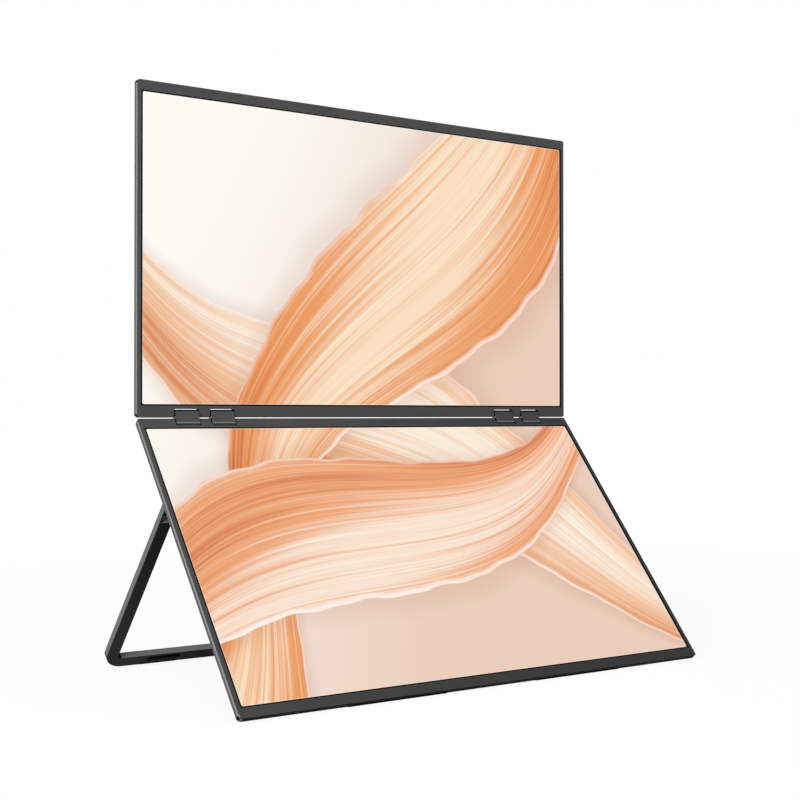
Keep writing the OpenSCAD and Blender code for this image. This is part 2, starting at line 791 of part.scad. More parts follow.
// Switches that the side buttons press
module button_switches() {
    color([0.6, 0.61, 0.62])
        for (y = [power_y, menu_y])
            translate([switch_x, y, socket_z]) {
                span([-switch_size[0], -switch_size[1] / 2, board_back - switch_size[2] - socket_z],
                    [-0.6, switch_size[1] / 2, board_back - socket_z]);
                span([-0.7, -1, -0.9], [0, 1, -0.1]);
            }
}

// Rubber strips in the lower unit's far edge. The underside is flat on the table.
module foot_strips() {
    color([0.06, 0.06, 0.06])
        for (side = [-1, 1])
            translate([side * strip_offset, unit_h, rim_back])
                bar_x(-strip_len / 2, strip_len / 2) foot_section(2.4 - fit_gap, 1.4 - fit_gap);
}

// Section of a foot strip, with its corner at the origin
module foot_section(root_y, root_z) {
    table_in = [foot_proud * cos(lower_lean), -foot_proud * sin(lower_lean)];
    along = [sin(lower_lean), cos(lower_lean)];
    polygon([
        [-root_y, root_z], [0, root_z], table_in + 0.2 * along + [0, 0.8], table_in + 0.2 * along,
        table_in - 1.5 * along, [-1.1, -1], [-1.1, 0], [-root_y, 0]
    ]);
}

// Parts of the stand

// Half of the stand's outline: a leg, a round outer corner and half of the crossbar
module stand_outline() {
    half = leg_x + leg_w / 2;
    difference() {
        union() {
            translate([-half, 0]) square([2 * half, stand_len - stand_r]);
            translate([-half + stand_r, stand_len - stand_r - 1]) square([2 * half - 2 * stand_r, stand_r + 1]);
            for (side = [-1, 1])
                translate([side * (half - stand_r), stand_len - stand_r]) circle(stand_r);
        }
        translate([-half + leg_w, -over])
            square([2 * half - 2 * leg_w, stand_len - bar_w - stand_inner_r + over]);
        translate([-half + leg_w + stand_inner_r, 0])
            square([2 * (half - leg_w - stand_inner_r), stand_len - bar_w]);
        for (side = [-1, 1])
            translate([side * (half - leg_w - stand_inner_r), stand_len - bar_w - stand_inner_r])
                circle(stand_inner_r);
    }
}

// U-shaped frame with a pocketed hinge end on each leg
module stand_frame() {
    half = leg_x + leg_w / 2;
    color([0.2, 0.2, 0.21])
        difference() {
            union() {
                translate([0, 0, -leg_t / 2]) linear_extrude(leg_t) stand_outline();
                for (side = [-1, 1])
                    translate([side * leg_x, 0, 0]) rod_x(-leg_w / 2, leg_w / 2, leg_t);
            }
            for (side = [-1, 1])
                translate([side * leg_x, 0, 0]) {
                    bar_x(-pocket_w / 2, pocket_w / 2)
                        polygon([
                            [-leg_t, leg_t], [-leg_t, leg_t / 2 - pocket_deep],
                            [pocket_len - shoulder, leg_t / 2 - pocket_deep], [pocket_len, leg_t / 2],
                            [pocket_len, leg_t]
                        ]);
                    span([-pocket_w / 2, -leg_t, -leg_t], [pocket_w / 2, leaf_knuckle_d / 2 + 0.3, leg_t]);
                    rod_x(-leg_w / 2 + (side > 0 ? -over : 0.4), leg_w / 2 + (side < 0 ? over : -0.4),
                        shaft_d + 2 * screw_play);
                    for (y = leaf_hole_at)
                        translate([0, y, -leg_t / 2 + 0.3]) cylinder(h = leg_t, d = screw_d);
                    translate([-side * (slot_offset - leg_w / 2), stand_len - bar_w + 1.9, leg_t / 2 - slot_deep])
                        linear_extrude(slot_deep + over) translate([0, slot_w / 2]) stadium(slot_len, slot_w);
                }
            for (side = [-1, 1])
                translate([side * pad_offset, stand_len, leg_t / 2])
                    span([-pad_len / 2 - fit_gap, -2.4, -1.4], [pad_len / 2 + fit_gap, over, over]);
        }
}

// Steel leaves in the legs' pockets, each with a knuckle on the pivot shaft
module stand_leaves() {
    w = pocket_w - 2 * fit_gap;
    floor_z = leg_t / 2 - pocket_deep + seat_gap;
    color([0.45, 0.46, 0.48])
        for (side = [-1, 1])
            translate([side * leg_x, 0, 0])
                difference() {
                    union() {
                        rod_x(-w / 2, w / 2, leaf_knuckle_d);
                        span([-w / 2, 0, floor_z], [w / 2, leaf_plate_end, floor_z + leaf_plate_t]);
                    }
                    rod_x(-w / 2 - over, w / 2 + over, shaft_d + 2 * screw_play);
                    for (y = leaf_hole_at)
                        translate([0, y, floor_z + leaf_plate_t]) screw_hole(leaf_plate_t + over);
                }
}

// Screws that hold the leaves in the pockets
module stand_leaf_screws() {
    top = leg_t / 2 - pocket_deep + seat_gap + leaf_plate_t;
    color([0.3, 0.3, 0.32])
        for (side = [-1, 1])
            for (y = leaf_hole_at)
                translate([side * leg_x, y, top]) screw(leaf_plate_t + 1.2);
}

// Pivot shafts, from the leg's outer cheek into the housing behind the lower screen
module stand_shafts() {
    color([0.8, 0.8, 0.82])
        for (side = [-1, 1])
            mirror([side < 0 ? 1 : 0, 0, 0])
                rod_x(wall_x - hump_wall - 0.2 - shaft_in, leg_x + leg_w / 2 - 0.45, shaft_d);
}

// Spring discs on the inner end of each shaft, which give the stand its drag
module stand_friction_discs() {
    start = wall_x - hump_wall - 0.2 - housing_len - 0.1;
    color([0.6, 0.6, 0.62])
        for (side = [-1, 1])
            mirror([side < 0 ? 1 : 0, 0, 0])
                for (k = [0:disc_count - 1])
                    difference() {
                        rod_x(start - (k + 1) * disc_t + 0.02, start - k * disc_t - 0.02, disc_d);
                        rod_x(start - (k + 1) * disc_t - over, start - k * disc_t + over,
                            shaft_d + 2 * screw_play);
                    }
}

// Rubber pads in the crossbar's lower edge. The underside is flat on the table.
module stand_foot_pads() {
    color([0.06, 0.06, 0.06])
        for (side = [-1, 1])
            translate([side * pad_offset, stand_len, leg_t / 2])
                bar_x(-pad_len / 2, pad_len / 2) pad_section(2.4 - fit_gap, 1.4 - fit_gap);
}

// Section of a foot pad, with its corner at the origin
module pad_section(root_y, root_z) {
    table_in = [foot_proud * cos(stand_lean), foot_proud * sin(stand_lean)];
    along = [-sin(stand_lean), cos(stand_lean)];
    polygon([
        [-root_y, -root_z], [-root_y, 0], [-1, 0], table_in - [0.6, 0], table_in,
        table_in - 1.5 * along, [0, -root_z]
    ]);
}

// Soft inserts in the crossbar's slots, which meet the rim when the stand is folded
module stand_bumpers() {
    color([0.04, 0.04, 0.04])
        for (side = [-1, 1])
            translate([side * (leg_x - slot_offset + leg_w / 2), stand_len - bar_w + 1.9 + slot_w / 2,
                    leg_t / 2 - slot_deep + seat_gap])
                linear_extrude(slot_deep - seat_gap + fold_gap / 2) stadium(slot_len - 2 * fit_gap, slot_w - 2 * fit_gap);
}

// Steel housings of the stand's shafts, on the raised middle's floor of the lower unit
module stand_hinge_housings() {
    inner = wall_x - hump_wall - 0.2;
    foot_low = hump_floor + seat_gap - pivot_back;
    color([0.5, 0.51, 0.53])
        for (side = [-1, 1])
            mirror([side < 0 ? 1 : 0, 0, 0])
                translate([0, pivot_drop, pivot_back])
                    difference() {
                        union() {
                            rod_x(inner - housing_len, inner, housing_d);
                            span([inner - housing_len, housing_y[0], foot_low],
                                [inner, housing_y[1], foot_low + 2]);
                        }
                        rod_x(inner - housing_len - over, inner + over, shaft_d + 2 * run_gap);
                        for (y = [housing_y[0] + 2.5, housing_y[1] - 2.5])
                            translate([inner - housing_len / 2, y, foot_low - over])
                                cylinder(h = 2 + 2 * over, d = screw_d);
                    }
}

// Screws through the lower cover's back into the housings
module stand_housing_screws() {
    color([0.2, 0.2, 0.21])
        housing_screw_places() screw(hump_wall + 1.8);
}

// The four places of the housing screws, each with its head's face at z = 0
module housing_screw_places() {
    inner = wall_x - hump_wall - 0.2;
    for (side = [-1, 1])
        for (y = [housing_y[0] + 2.5, housing_y[1] - 2.5])
            translate([side * (inner - housing_len / 2), pivot_drop + y, hump_back])
                mirror([0, 0, 1]) children();
}

// The lower cover has holes for the stand's shafts and screws, and seats for the foot strips
module lower_cover() {
    difference() {
        rear_cover(lower_notch);
        translate([0, pivot_drop, pivot_back])
            rod_x(-wall_x - over, wall_x + over, shaft_d + 4 * fit_gap);
        housing_screw_places() screw_hole(hump_wall + over);
        for (side = [-1, 1])
            translate([side * strip_offset, unit_h, rim_back])
                span([-strip_len / 2 - fit_gap, -2.4, -over], [strip_len / 2 + fit_gap, over, 1.4]);
    }
}

// One link: a flat bar with rounded edges, bored for a pin at each end
module hinge_link(pair, side) {
    color([0.3, 0.3, 0.31])
        translate([pair * pair_x + side * link_step / 2, 0, 0])
            difference() {
                bar_x(-link_w / 2, link_w / 2)
                    translate([(link_pitch + reach_up - reach_down) / 2, -link_rear])
                        round_rect(link_pitch + reach_up + reach_down, link_front + link_rear, link_r);
                for (y = [0, link_pitch])
                    translate([0, y, 0]) rod_x(-link_w / 2 - over, link_w / 2 + over, pin_d + 2 * run_gap);
            }
}

place_upper() bezel_frame(upper_notch);  // upper_bezel_frame
place_upper() rear_cover(upper_notch);  // upper_rear_cover
place_upper() lcd_panel();  // upper_lcd_panel
place_upper() backlight();  // upper_backlight
place_upper() led_bar();  // upper_led_bar
place_upper() support_plate();  // upper_support_plate
place_upper() panel_board();  // upper_panel_board
place_upper() ribbon_cable();  // upper_ribbon_cable
place_upper() driver_board();  // upper_driver_board
place_upper() usb_sockets();  // upper_usb_sockets
place_upper() video_socket();  // upper_video_socket
place_upper() headphone_socket();  // upper_headphone_socket
place_upper() speakers();  // upper_speakers
place_upper() hinge_brackets();  // upper_hinge_brackets
place_upper() hinge_pins();  // upper_hinge_pins
place_upper() bracket_screws();  // upper_bracket_screws
place_upper() cover_screws();  // upper_cover_screws
place_upper() board_screws();  // upper_board_screws
place_upper() side_button(power_y);  // upper_power_button
place_upper() side_button(menu_y);  // upper_menu_button
place_upper() button_switches();  // upper_button_switches
place_lower() bezel_frame(lower_notch);  // lower_bezel_frame
place_lower() lower_cover();  // lower_rear_cover
place_lower() lcd_panel();  // lower_lcd_panel
place_lower() backlight();  // lower_backlight
place_lower() led_bar();  // lower_led_bar
place_lower() support_plate();  // lower_support_plate
place_lower() panel_board();  // lower_panel_board
place_lower() ribbon_cable();  // lower_ribbon_cable
place_lower() driver_board();  // lower_driver_board
place_lower() usb_sockets();  // lower_usb_sockets
place_lower() video_socket();  // lower_video_socket
place_lower() headphone_socket();  // lower_headphone_socket
place_lower() speakers();  // lower_speakers
place_lower() hinge_brackets();  // lower_hinge_brackets
place_lower() hinge_pins();  // lower_hinge_pins
place_lower() bracket_screws();  // lower_bracket_screws
place_lower() cover_screws();  // lower_cover_screws
place_lower() board_screws();  // lower_board_screws
place_lower() side_button(power_y);  // lower_power_button
place_lower() side_button(menu_y);  // lower_menu_button
place_lower() button_switches();  // lower_button_switches
place_lower() foot_strips();  // lower_foot_strips
place_lower() stand_hinge_housings();
place_lower() stand_housing_screws();
place_link() hinge_link(-1, -1);  // outer_left_link
place_link() hinge_link(-1, 1);  // inner_left_link
place_link() hinge_link(1, -1);  // inner_right_link
place_link() hinge_link(1, 1);  // outer_right_link
place_stand() stand_frame();
place_stand() stand_leaves();
place_stand() stand_leaf_screws();
place_stand() stand_shafts();
place_stand() stand_friction_discs();
place_stand() stand_foot_pads();
place_stand() stand_bumpers();
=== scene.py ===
"""Two stacked portable screens: lit pictures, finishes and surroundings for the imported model."""

import json
import logging
import math
from dataclasses import dataclass, fields
from enum import Enum
from typing import Optional, Union

import bpy
import numpy as np
from mathutils import Matrix, Vector

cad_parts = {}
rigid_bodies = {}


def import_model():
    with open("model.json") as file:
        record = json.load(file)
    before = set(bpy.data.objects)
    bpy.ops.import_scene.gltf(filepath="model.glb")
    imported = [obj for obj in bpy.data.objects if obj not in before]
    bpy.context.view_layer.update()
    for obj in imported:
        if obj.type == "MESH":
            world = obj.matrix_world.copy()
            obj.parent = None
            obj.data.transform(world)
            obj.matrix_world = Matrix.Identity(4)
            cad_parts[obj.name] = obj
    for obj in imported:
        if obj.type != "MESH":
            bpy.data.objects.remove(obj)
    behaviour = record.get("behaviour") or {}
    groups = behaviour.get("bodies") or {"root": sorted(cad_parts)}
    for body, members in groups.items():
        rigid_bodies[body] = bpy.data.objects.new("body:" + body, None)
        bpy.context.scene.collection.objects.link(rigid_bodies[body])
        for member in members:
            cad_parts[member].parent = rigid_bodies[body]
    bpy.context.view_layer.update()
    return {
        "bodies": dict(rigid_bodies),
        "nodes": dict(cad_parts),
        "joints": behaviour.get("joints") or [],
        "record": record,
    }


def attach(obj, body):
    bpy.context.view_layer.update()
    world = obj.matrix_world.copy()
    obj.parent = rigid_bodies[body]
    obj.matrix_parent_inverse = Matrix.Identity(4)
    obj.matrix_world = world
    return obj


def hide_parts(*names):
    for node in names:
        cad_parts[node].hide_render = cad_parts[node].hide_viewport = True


log = logging.getLogger("stacked_screens")

Colour = tuple[float, float, float]
Limits = Optional[tuple[float, float]]
Amount = Union["Signal", float]
Paint = Union[bpy.types.NodeSocket, Colour]
Source = Union["Signal", bpy.types.NodeSocket, Colour, float]

MM = 0.001
# Decimetres in a metre
DECIMETRES = 10
WHITE = (1.0, 1.0, 1.0)
# A limit, in millimetres, that lies past every part
FAR = 10000.0
# Tones of the grain that bring a finish to its darkest and to its lightest
GRAIN_TONES = (0.3, 0.7)
# Places of the sockets of a Mix node that mixes colours
MIX_SHARE, MIX_UNDER, MIX_OVER, MIX_RESULT = 0, 6, 7, 2


class Unit(Enum):
    """The two screens. The value is the start of each of its nodes' names."""

    UPPER = "upper"
    LOWER = "lower"


class Ray(Enum):
    """Light Path outputs for the rays that see the plain white surroundings."""

    CAMERA = "Is Camera Ray"
    GLOSSY = "Is Glossy Ray"
    TRANSMISSION = "Is Transmission Ray"


def linear(code: str) -> Colour:
    """Turn a display colour into linear numbers by the sRGB curve.

    Args:
        code: Its six-figure code, such as F0A060.

    Returns:
        The linear colour.
    """
    levels = [int(code[i : i + 2], 16) / 255 for i in (0, 2, 4)]
    red, green, blue = (v / 12.92 if v <= 0.04045 else ((v + 0.055) / 1.055) ** 2.4 for v in levels)
    return red, green, blue


def grey(level: float) -> Colour:
    """Neutral grey of a linear level."""
    return level, level, level


def cool_grey(level: float) -> Colour:
    """Grey of a linear level with a trace of blue."""
    return level, level, level + 0.001


class Signal:
    """A number that varies over a surface, with arithmetic that places Math nodes."""

    def __init__(self, tree: bpy.types.NodeTree, socket: bpy.types.NodeSocket) -> None:
        """Keep the node tree and the output socket that carries the number."""
        self.tree = tree
        self.socket = socket

    def math(self, operation: str, *others: Amount) -> "Signal":
        """Place a Math node.

        Args:
            operation: The node's operation, such as ADD.
            others: The second and third operands, signals or plain numbers.

        Returns:
            The node's result.
        """
        node = self.tree.nodes.new("ShaderNodeMath")
        node.operation = operation
        self.tree.links.new(self.socket, node.inputs[0])
        for place, other in enumerate(others, start=1):
            feed(self.tree, node.inputs[place], other)
        return Signal(self.tree, node.outputs[0])

    def __add__(self, other: Amount) -> "Signal":
        """Sum."""
        return self.math("ADD", other)

    def __sub__(self, other: Amount) -> "Signal":
        """Difference."""
        return self.math("SUBTRACT", other)

    def __mul__(self, other: Amount) -> "Signal":
        """Product."""
        return self.math("MULTIPLY", other)

    def __truediv__(self, other: Amount) -> "Signal":
        """Quotient."""
        return self.math("DIVIDE", other)

    def sin(self) -> "Signal":
        """Sine, in radians."""
        return self.math("SINE")

    def size(self) -> "Signal":
        """The number without its sign."""
        return self.math("ABSOLUTE")

    def ramp(self, low: Amount, high: Amount) -> "Signal":
        """Place a smooth step from 0 to 1.

        Args:
            low: Where it leaves 0.
            high: Where it reaches 1, which may be less than low.

        Returns:
            The step.
        """
        node = self.tree.nodes.new("ShaderNodeMapRange")
        node.interpolation_type = "SMOOTHSTEP"
        self.tree.links.new(self.socket, node.inputs["Value"])
        feed(self.tree, node.inputs["From Min"], low)
        feed(self.tree, node.inputs["From Max"], high)
        return Signal(self.tree, node.outputs["Result"])


def feed(tree: bpy.types.NodeTree, target: bpy.types.NodeSocket, value: Source) -> None:
    """Link a signal or socket to an input, or set a plain number or colour on it.

    Args:
        tree: The node tree of the input.
        target: The input.
        value: What it takes.
    """
    if isinstance(value, Signal):
        tree.links.new(value.socket, target)
    elif isinstance(value, bpy.types.NodeSocket):
        tree.links.new(value, target)
    elif isinstance(value, tuple):
        target.default_value = (*value, 1) if len(target.default_value) == 4 else value
    else:
        target.default_value = value


def mix(tree: bpy.types.NodeTree, share: Signal, under: Paint, over: Paint) -> bpy.types.NodeSocket:
    """Mix two colours.

    Args:
        tree: The node tree to add to.
        share: The share of the second colour.
        under: The first colour.
        over: The second colour.

    Returns:
        The mixed colour's socket.
    """
    node = tree.nodes.new("ShaderNodeMix")
    node.data_type = "RGBA"
    for place, value in ((MIX_SHARE, share), (MIX_UNDER, under), (MIX_OVER, over)):
        feed(tree, node.inputs[place], value)
    return node.outputs[MIX_RESULT]


def parts(tree: bpy.types.NodeTree, vector: bpy.types.NodeSocket) -> list[Signal]:
    """Take a vector apart.

    Args:
        tree: The node tree to add to.
        vector: The vector's socket.

    Returns:
        Its three parts.
    """
    node = tree.nodes.new("ShaderNodeSeparateXYZ")
    tree.links.new(vector, node.inputs[0])
    return [Signal(tree, output) for output in node.outputs]


def flat_vector(tree: bpy.types.NodeTree, x: Signal, y: Signal) -> bpy.types.NodeSocket:
    """Make a vector whose third part is 0.

    Args:
        tree: The node tree to add to.
        x: Its first part.
        y: Its second part.

    Returns:
        The vector's socket.
    """
    node = tree.nodes.new("ShaderNodeCombineXYZ")
    feed(tree, node.inputs[0], x)
    feed(tree, node.inputs[1], y)
    return node.outputs[0]


def noise(tree: bpy.types.NodeTree, scale: Amount, detail: float, vector: bpy.types.NodeSocket) -> Signal:
    """Noise between 0 and 1 at a vector.

    Args:
        tree: The node tree to add to.
        scale: The noise's scale.
        detail: How many finer noises are added to it.
        vector: Where it is read.

    Returns:
        The noise.
    """
    node = tree.nodes.new("ShaderNodeTexNoise")
    feed(tree, node.inputs["Scale"], scale)
    node.inputs["Detail"].default_value = detail
    tree.links.new(vector, node.inputs["Vector"])
    return Signal(tree, node.outputs["Fac"])


class Group:
    """A shader node group under construction, with named inputs and outputs."""

    def __init__(self, name: str, inputs: dict[str, Union[float, Colour, None]],
                 outputs: dict[str, str]) -> None:
        """Make the group.

        Args:
            name: The group's name.
            inputs: Each input's default: a number, a colour, or None for a vector.
            outputs: Each output's kind, Color or Float.
        """
        self.tree = bpy.data.node_groups.new(name, "ShaderNodeTree")
        for label, default in inputs.items():
            coloured = isinstance(default, tuple)
            kind = "Vector" if default is None else "Color" if coloured else "Float"
            item = self.tree.interface.new_socket(label, in_out="INPUT", socket_type="NodeSocket" + kind)
            if default is not None:
                item.default_value = (*default, 1) if coloured else default
        for label, kind in outputs.items():
            self.tree.interface.new_socket(label, in_out="OUTPUT", socket_type="NodeSocket" + kind)
        self.given = self.tree.nodes.new("NodeGroupInput")
        self.result = self.tree.nodes.new("NodeGroupOutput")

    def number(self, label: str) -> Signal:
        """The input of that name as a number."""
        return Signal(self.tree, self.given.outputs[label])

    def give(self, label: str, value: Union[Signal, bpy.types.NodeSocket]) -> None:
        """Link a value to the output of that name."""
        feed(self.tree, self.result.inputs[label], value)


def place_group(tree: bpy.types.NodeTree, name: str, values: dict[str, Source]) -> bpy.types.Node:
    """Place a node group in a tree.

    Args:
        tree: The node tree to add to.
        name: The group's name.
        values: What its inputs take.

    Returns:
        The group's node.
    """
    node = tree.nodes.new("ShaderNodeGroup")
    node.node_tree = bpy.data.node_groups[name]
    for label, value in values.items():
        feed(tree, node.inputs[label], value)
    return node


def silk_ribbon_group() -> None:
    """One twisting ribbon of pleated silk, laid over a colour.

    The plane is turned, so that u runs along the ribbon and v across it. Its middle is offset + sweep
    sin(waves u + phase). Its half width is width times a share that goes from narrow to 1 with the twist,
    0.5 + 0.5 sin(turns u + start), because it narrows where the silk turns over. With t the distance from
    the middle in half widths, the tone adds a slow fold sin(folds t + 1.1 sin(0.8 u + phase) + fold start)
    and two noises stretched along lines of equal t, which make patches and strands. The edge waves a little,
    with a bright hem inside it and a soft shadow outside it.
    """
    narrow, thread_share, shadow_share = 0.3, 0.1, 0.16
    lower_hem, upper_hem = 0.55, 0.35
    fold_part, patch_part, strand_part, twist_part, tone_cut = 0.31, 0.88, 0.5, 0.18, 0.21
    thread_dark, shadow = (0.35, 0.12, 0.04), linear("B4623A")
    group = Group(
        "silk_ribbon",
        {"Vector": None, "Under": WHITE, "Cosine": 1.0, "Sine": 0.0, "Offset": 0.0, "Sweep": 0.3,
         "Waves": 1.0, "Phase": 0.0, "Width": 0.5, "Turns": 1.0, "Start": 0.0, "Strands": 30.0, "Folds": 2.0,
         "Fold Start": 0.0, "Dark": (0.8, 0.4, 0.2), "Middle": (0.9, 0.6, 0.4), "Light": (1.0, 0.9, 0.8)},
        {"Color": "Color"},
    )
    tree, colours = group.tree, group.given.outputs
    x, y, _ = parts(tree, colours["Vector"])
    cosine, sine, phase, strands = (group.number(n) for n in ("Cosine", "Sine", "Phase", "Strands"))
    along = x * cosine + y * sine
    across = y * cosine - x * sine
    middle = (along * group.number("Waves") + phase).sin() * group.number("Sweep") + group.number("Offset")
    twist = (along * group.number("Turns") + group.number("Start")).sin() * 0.5 + 0.5
    t = (across - middle) / ((twist * (1 - narrow) + narrow) * group.number("Width"))
    strand = noise(tree, 1.0, 2.0, flat_vector(tree, t * strands, along * 0.55 + phase))
    patch = noise(tree, 1.0, 2.0, flat_vector(tree, t * strands * 0.3 + 5.0, along * 0.35 + phase * 2.0))
    bend = (along * 0.8 + phase).sin() * 1.1
    fold = (t * group.number("Folds") + bend + group.number("Fold Start")).sin()
    tone = fold * fold_part + patch * patch_part + strand * strand_part + twist * twist_part - tone_cut
    colour = mix(tree, tone.ramp(0.0, 0.5), colours["Dark"], colours["Middle"])
    colour = mix(tree, tone.ramp(0.45, 1.0), colour, colours["Light"])
    thread = strand.ramp(0.52, 0.75)
    colour = mix(tree, thread * -thread_share + thread_share, colour, thread_dark)
    colour = mix(tree, thread * thread_share, colour, WHITE)
    edge = t / ((along * 11.0 + phase * 3.0).sin() * 0.018 + (along * 23.0).sin() * 0.01 + 1.0)
    lower = edge.ramp(-1.0, -0.975) * edge.ramp(-0.9, -0.96) * lower_hem
    upper = edge.ramp(1.0, 0.985) * edge.ramp(0.93, 0.98) * upper_hem
    colour = mix(tree, lower + upper, colour, WHITE)
    ground = mix(tree, edge.size().ramp(1.35, 1.0) * shadow_share, colours["Under"], shadow)
    group.give("Color", mix(tree, edge.size().ramp(1.0, 0.988), ground, colour))


def fine_grain_group() -> None:
    """Grain of a moulded or blasted surface: two sizes of noise, read as a height and as a tone."""
    inputs = {"Vector": None, "Size": 0.4, "Patches": 30.0}
    group = Group("fine_grain", inputs, {"Height": "Float", "Tone": "Float"})
    fine, broad = (
        noise(group.tree, group.number(size).math("POWER", -1.0), detail, group.given.outputs["Vector"])
        for size, detail in (("Size", 2.0), ("Patches", 3.0))
    )
    group.give("Height", fine)
    group.give("Tone", fine * 0.5 + broad * 0.5)


def zone_group() -> None:
    """A box-shaped zone of a surface, 1 inside and 0 outside.

    Across is read as | | |x| - fold | - step |, so that one zone can stand for both sides of the object and,
    with a fold and a step, for the four links too.
    """
    inputs = {"Vector": None, "Fold": 0.0, "Step": 0.0}
    axes = ("Across", "Along", "Out")
    for axis in axes:
        inputs |= {f"{axis} Low": -FAR, f"{axis} High": FAR}
    group = Group("zone", inputs | {"Soft": 0.04}, {"Mask": "Float"})
    x, along, out = parts(group.tree, group.given.outputs["Vector"])
    across = ((x.size() - group.number("Fold")).size() - group.number("Step")).size()
    soft = group.number("Soft")
    mask = None
    for axis, value in zip(axes, (across, along, out)):
        low, high = group.number(f"{axis} Low"), group.number(f"{axis} High")
        inside = value.ramp(low - soft, low) * value.ramp(high + soft, high)
        mask = inside if mask is None else mask * inside
    group.give("Mask", mask)


@dataclass(frozen=True)
class Axes:
    """Own axes of a part that leans, for its material: x across, y along the part and z out of its front.

    Attributes:
        origin: Where the part's own origin lies, in metres.
        turn: Its turn about the x axis, in degrees.
        mirrored: Whether its y axis points the other way, as on the lower screen and the stand.
    """

    origin: tuple[float, float, float]
    turn: float
    mirrored: bool = False

    def place(self, tree: bpy.types.NodeTree) -> bpy.types.NodeSocket:
        """Place a Mapping node from Object coordinates to the part's own axes.

        Args:
            tree: The node tree to add to.

        Returns:
            The place on those axes, in millimetres.
        """
        where = tree.nodes.new("ShaderNodeTexCoord")
        node = tree.nodes.new("ShaderNodeMapping")
        node.vector_type = "TEXTURE"
        node.inputs["Location"].default_value = self.origin
        node.inputs["Rotation"].default_value = (math.radians(self.turn), 0, 0)
        node.inputs["Scale"].default_value = (MM, -MM if self.mirrored else MM, MM)
        tree.links.new(where.outputs["Object"], node.inputs["Vector"])
        return node.outputs["Vector"]


@dataclass(frozen=True)
class Zone:
    """Surface part in another tone, mostly painted light and shade, limited on the part's own axes, in
    millimetres.

    Attributes:
        colour: Its colour.
        across: Limits of the distance across, folded as in zone_group.
        along: Limits along the part.
        out: Limits in the direction out of the part's front.
        fold: The fold of the distance across.
        step: The step of the distance across.
        soft: Width of its fading edge.
    """

    colour: Colour
    across: Limits = None
    along: Limits = None
    out: Limits = None
    fold: float = 0.0
    step: float = 0.0
    soft: float = 0.04

    def mask(self, tree: bpy.types.NodeTree, vector: bpy.types.NodeSocket) -> Signal:
        """Place the zone's mask.

        Args:
            tree: The node tree to add to.
            vector: The place on the part's own axes.

        Returns:
            The mask.
        """
        values = {"Vector": vector, "Fold": self.fold, "Step": self.step, "Soft": self.soft}
        for axis, limits in (("Across", self.across), ("Along", self.along), ("Out", self.out)):
            if limits:
                values |= {f"{axis} Low": limits[0], f"{axis} High": limits[1]}
        return Signal(tree, place_group(tree, "zone", values).outputs["Mask"])


@dataclass(frozen=True)
class ShadeFade:
    """Painted shade: a tone that comes in smoothly along a slanting direction on the part's own axes, in
    millimetres.

    Attributes:
        colour: Its colour.
        across: Weight of the place across.
        along: Weight of the place along the part.
        start: The weighted sum at which it starts.
        end: The weighted sum at which it is full.
    """

    colour: Colour
    across: float
    along: float
    start: float
    end: float

    def mask(self, tree: bpy.types.NodeTree, vector: bpy.types.NodeSocket) -> Signal:
        """Place the fade's mask on the part's own axes."""
        x, y, _ = parts(tree, vector)
        return (x * self.across + y * self.along).ramp(self.start, self.end)


@dataclass(frozen=True)
class Finish:
    """A plain finish with a fine grain and zones of other tones, most of them painted light and shade.

    Attributes:
        name: The material's name.
        colour: Base colour.
        roughness: Mean roughness.
        metallic: 0 for paint, plastic and rubber, 1 for bare metal.
        specular: Specular level.
        grain: Size of the grain in millimetres.
        bump: Height of the grain in metres.
        strength: Strength of the bump.
        spread: How far the tone and roughness stray from their means.
        zones: Parts in another tone, mostly painted light and shade, later ones over earlier ones.
    """

    name: str
    colour: Colour
    roughness: float
    metallic: float = 0.0
    specular: float = 0.5
    grain: float = 0.4
    bump: float = 0.00002
    strength: float = 0.6
    spread: float = 0.12
    zones: tuple[Union[Zone, ShadeFade], ...] = ()

    def build(self, label: str, axes: Axes) -> bpy.types.Material:
        """Make the material for one part.

        Args:
            label: The start of the material's name.
            axes: The part's own axes.

        Returns:
            The material.
        """
        material = bpy.data.materials.new(f"{label}_{self.name}")
        material.use_nodes = True
        tree = material.node_tree
        shader = tree.nodes["Principled BSDF"]
        shader.inputs["Metallic"].default_value = self.metallic
        shader.inputs["Specular IOR Level"].default_value = self.specular
        where = axes.place(tree)
        grain = place_group(tree, "fine_grain", {"Vector": where, "Size": self.grain})
        tone = Signal(tree, grain.outputs["Tone"])
        dark = tuple(c * (1 - self.spread) for c in self.colour)
        light = tuple(min(1.0, c * (1 + self.spread)) for c in self.colour)
        colour = mix(tree, tone.ramp(*GRAIN_TONES), dark, light)
        for zone in self.zones:
            colour = mix(tree, zone.mask(tree, where), colour, zone.colour)
        tree.links.new(colour, shader.inputs["Base Color"])
        roughness_span = 0.8 * self.spread
        rough = tone * roughness_span + (self.roughness - roughness_span / 2)
        feed(tree, shader.inputs["Roughness"], rough)
        bump = tree.nodes.new("ShaderNodeBump")
        bump.inputs["Distance"].default_value = self.bump
        bump.inputs["Strength"].default_value = self.strength
        tree.links.new(grain.outputs["Height"], bump.inputs["Height"])
        tree.links.new(bump.outputs["Normal"], shader.inputs["Normal"])
        return material


@dataclass(frozen=True)
class Ribbon:
    """One ribbon of the picture, turned by degrees. See silk_ribbon_group for what the other fields do."""

    turn: float
    offset: float
    sweep: float
    waves: float
    phase: float
    width: float
    turns: float
    start: float
    strands: float
    folds: float
    fold_start: float
    dark: str
    middle: str
    light: str

    def inputs(self) -> dict[str, Union[float, Colour]]:
        """Name what the ribbon's group takes: the turn as cosine and sine, then each other field.

        Returns:
            The value of each input, by its label.
        """
        turn = math.radians(self.turn)
        values: dict[str, Union[float, Colour]] = {"Cosine": math.cos(turn), "Sine": math.sin(turn)}
        for item in fields(self)[1:]:
            value = getattr(self, item.name)
            label = item.name.replace("_", " ").title()
            values[label] = linear(value) if isinstance(value, str) else value
        return values


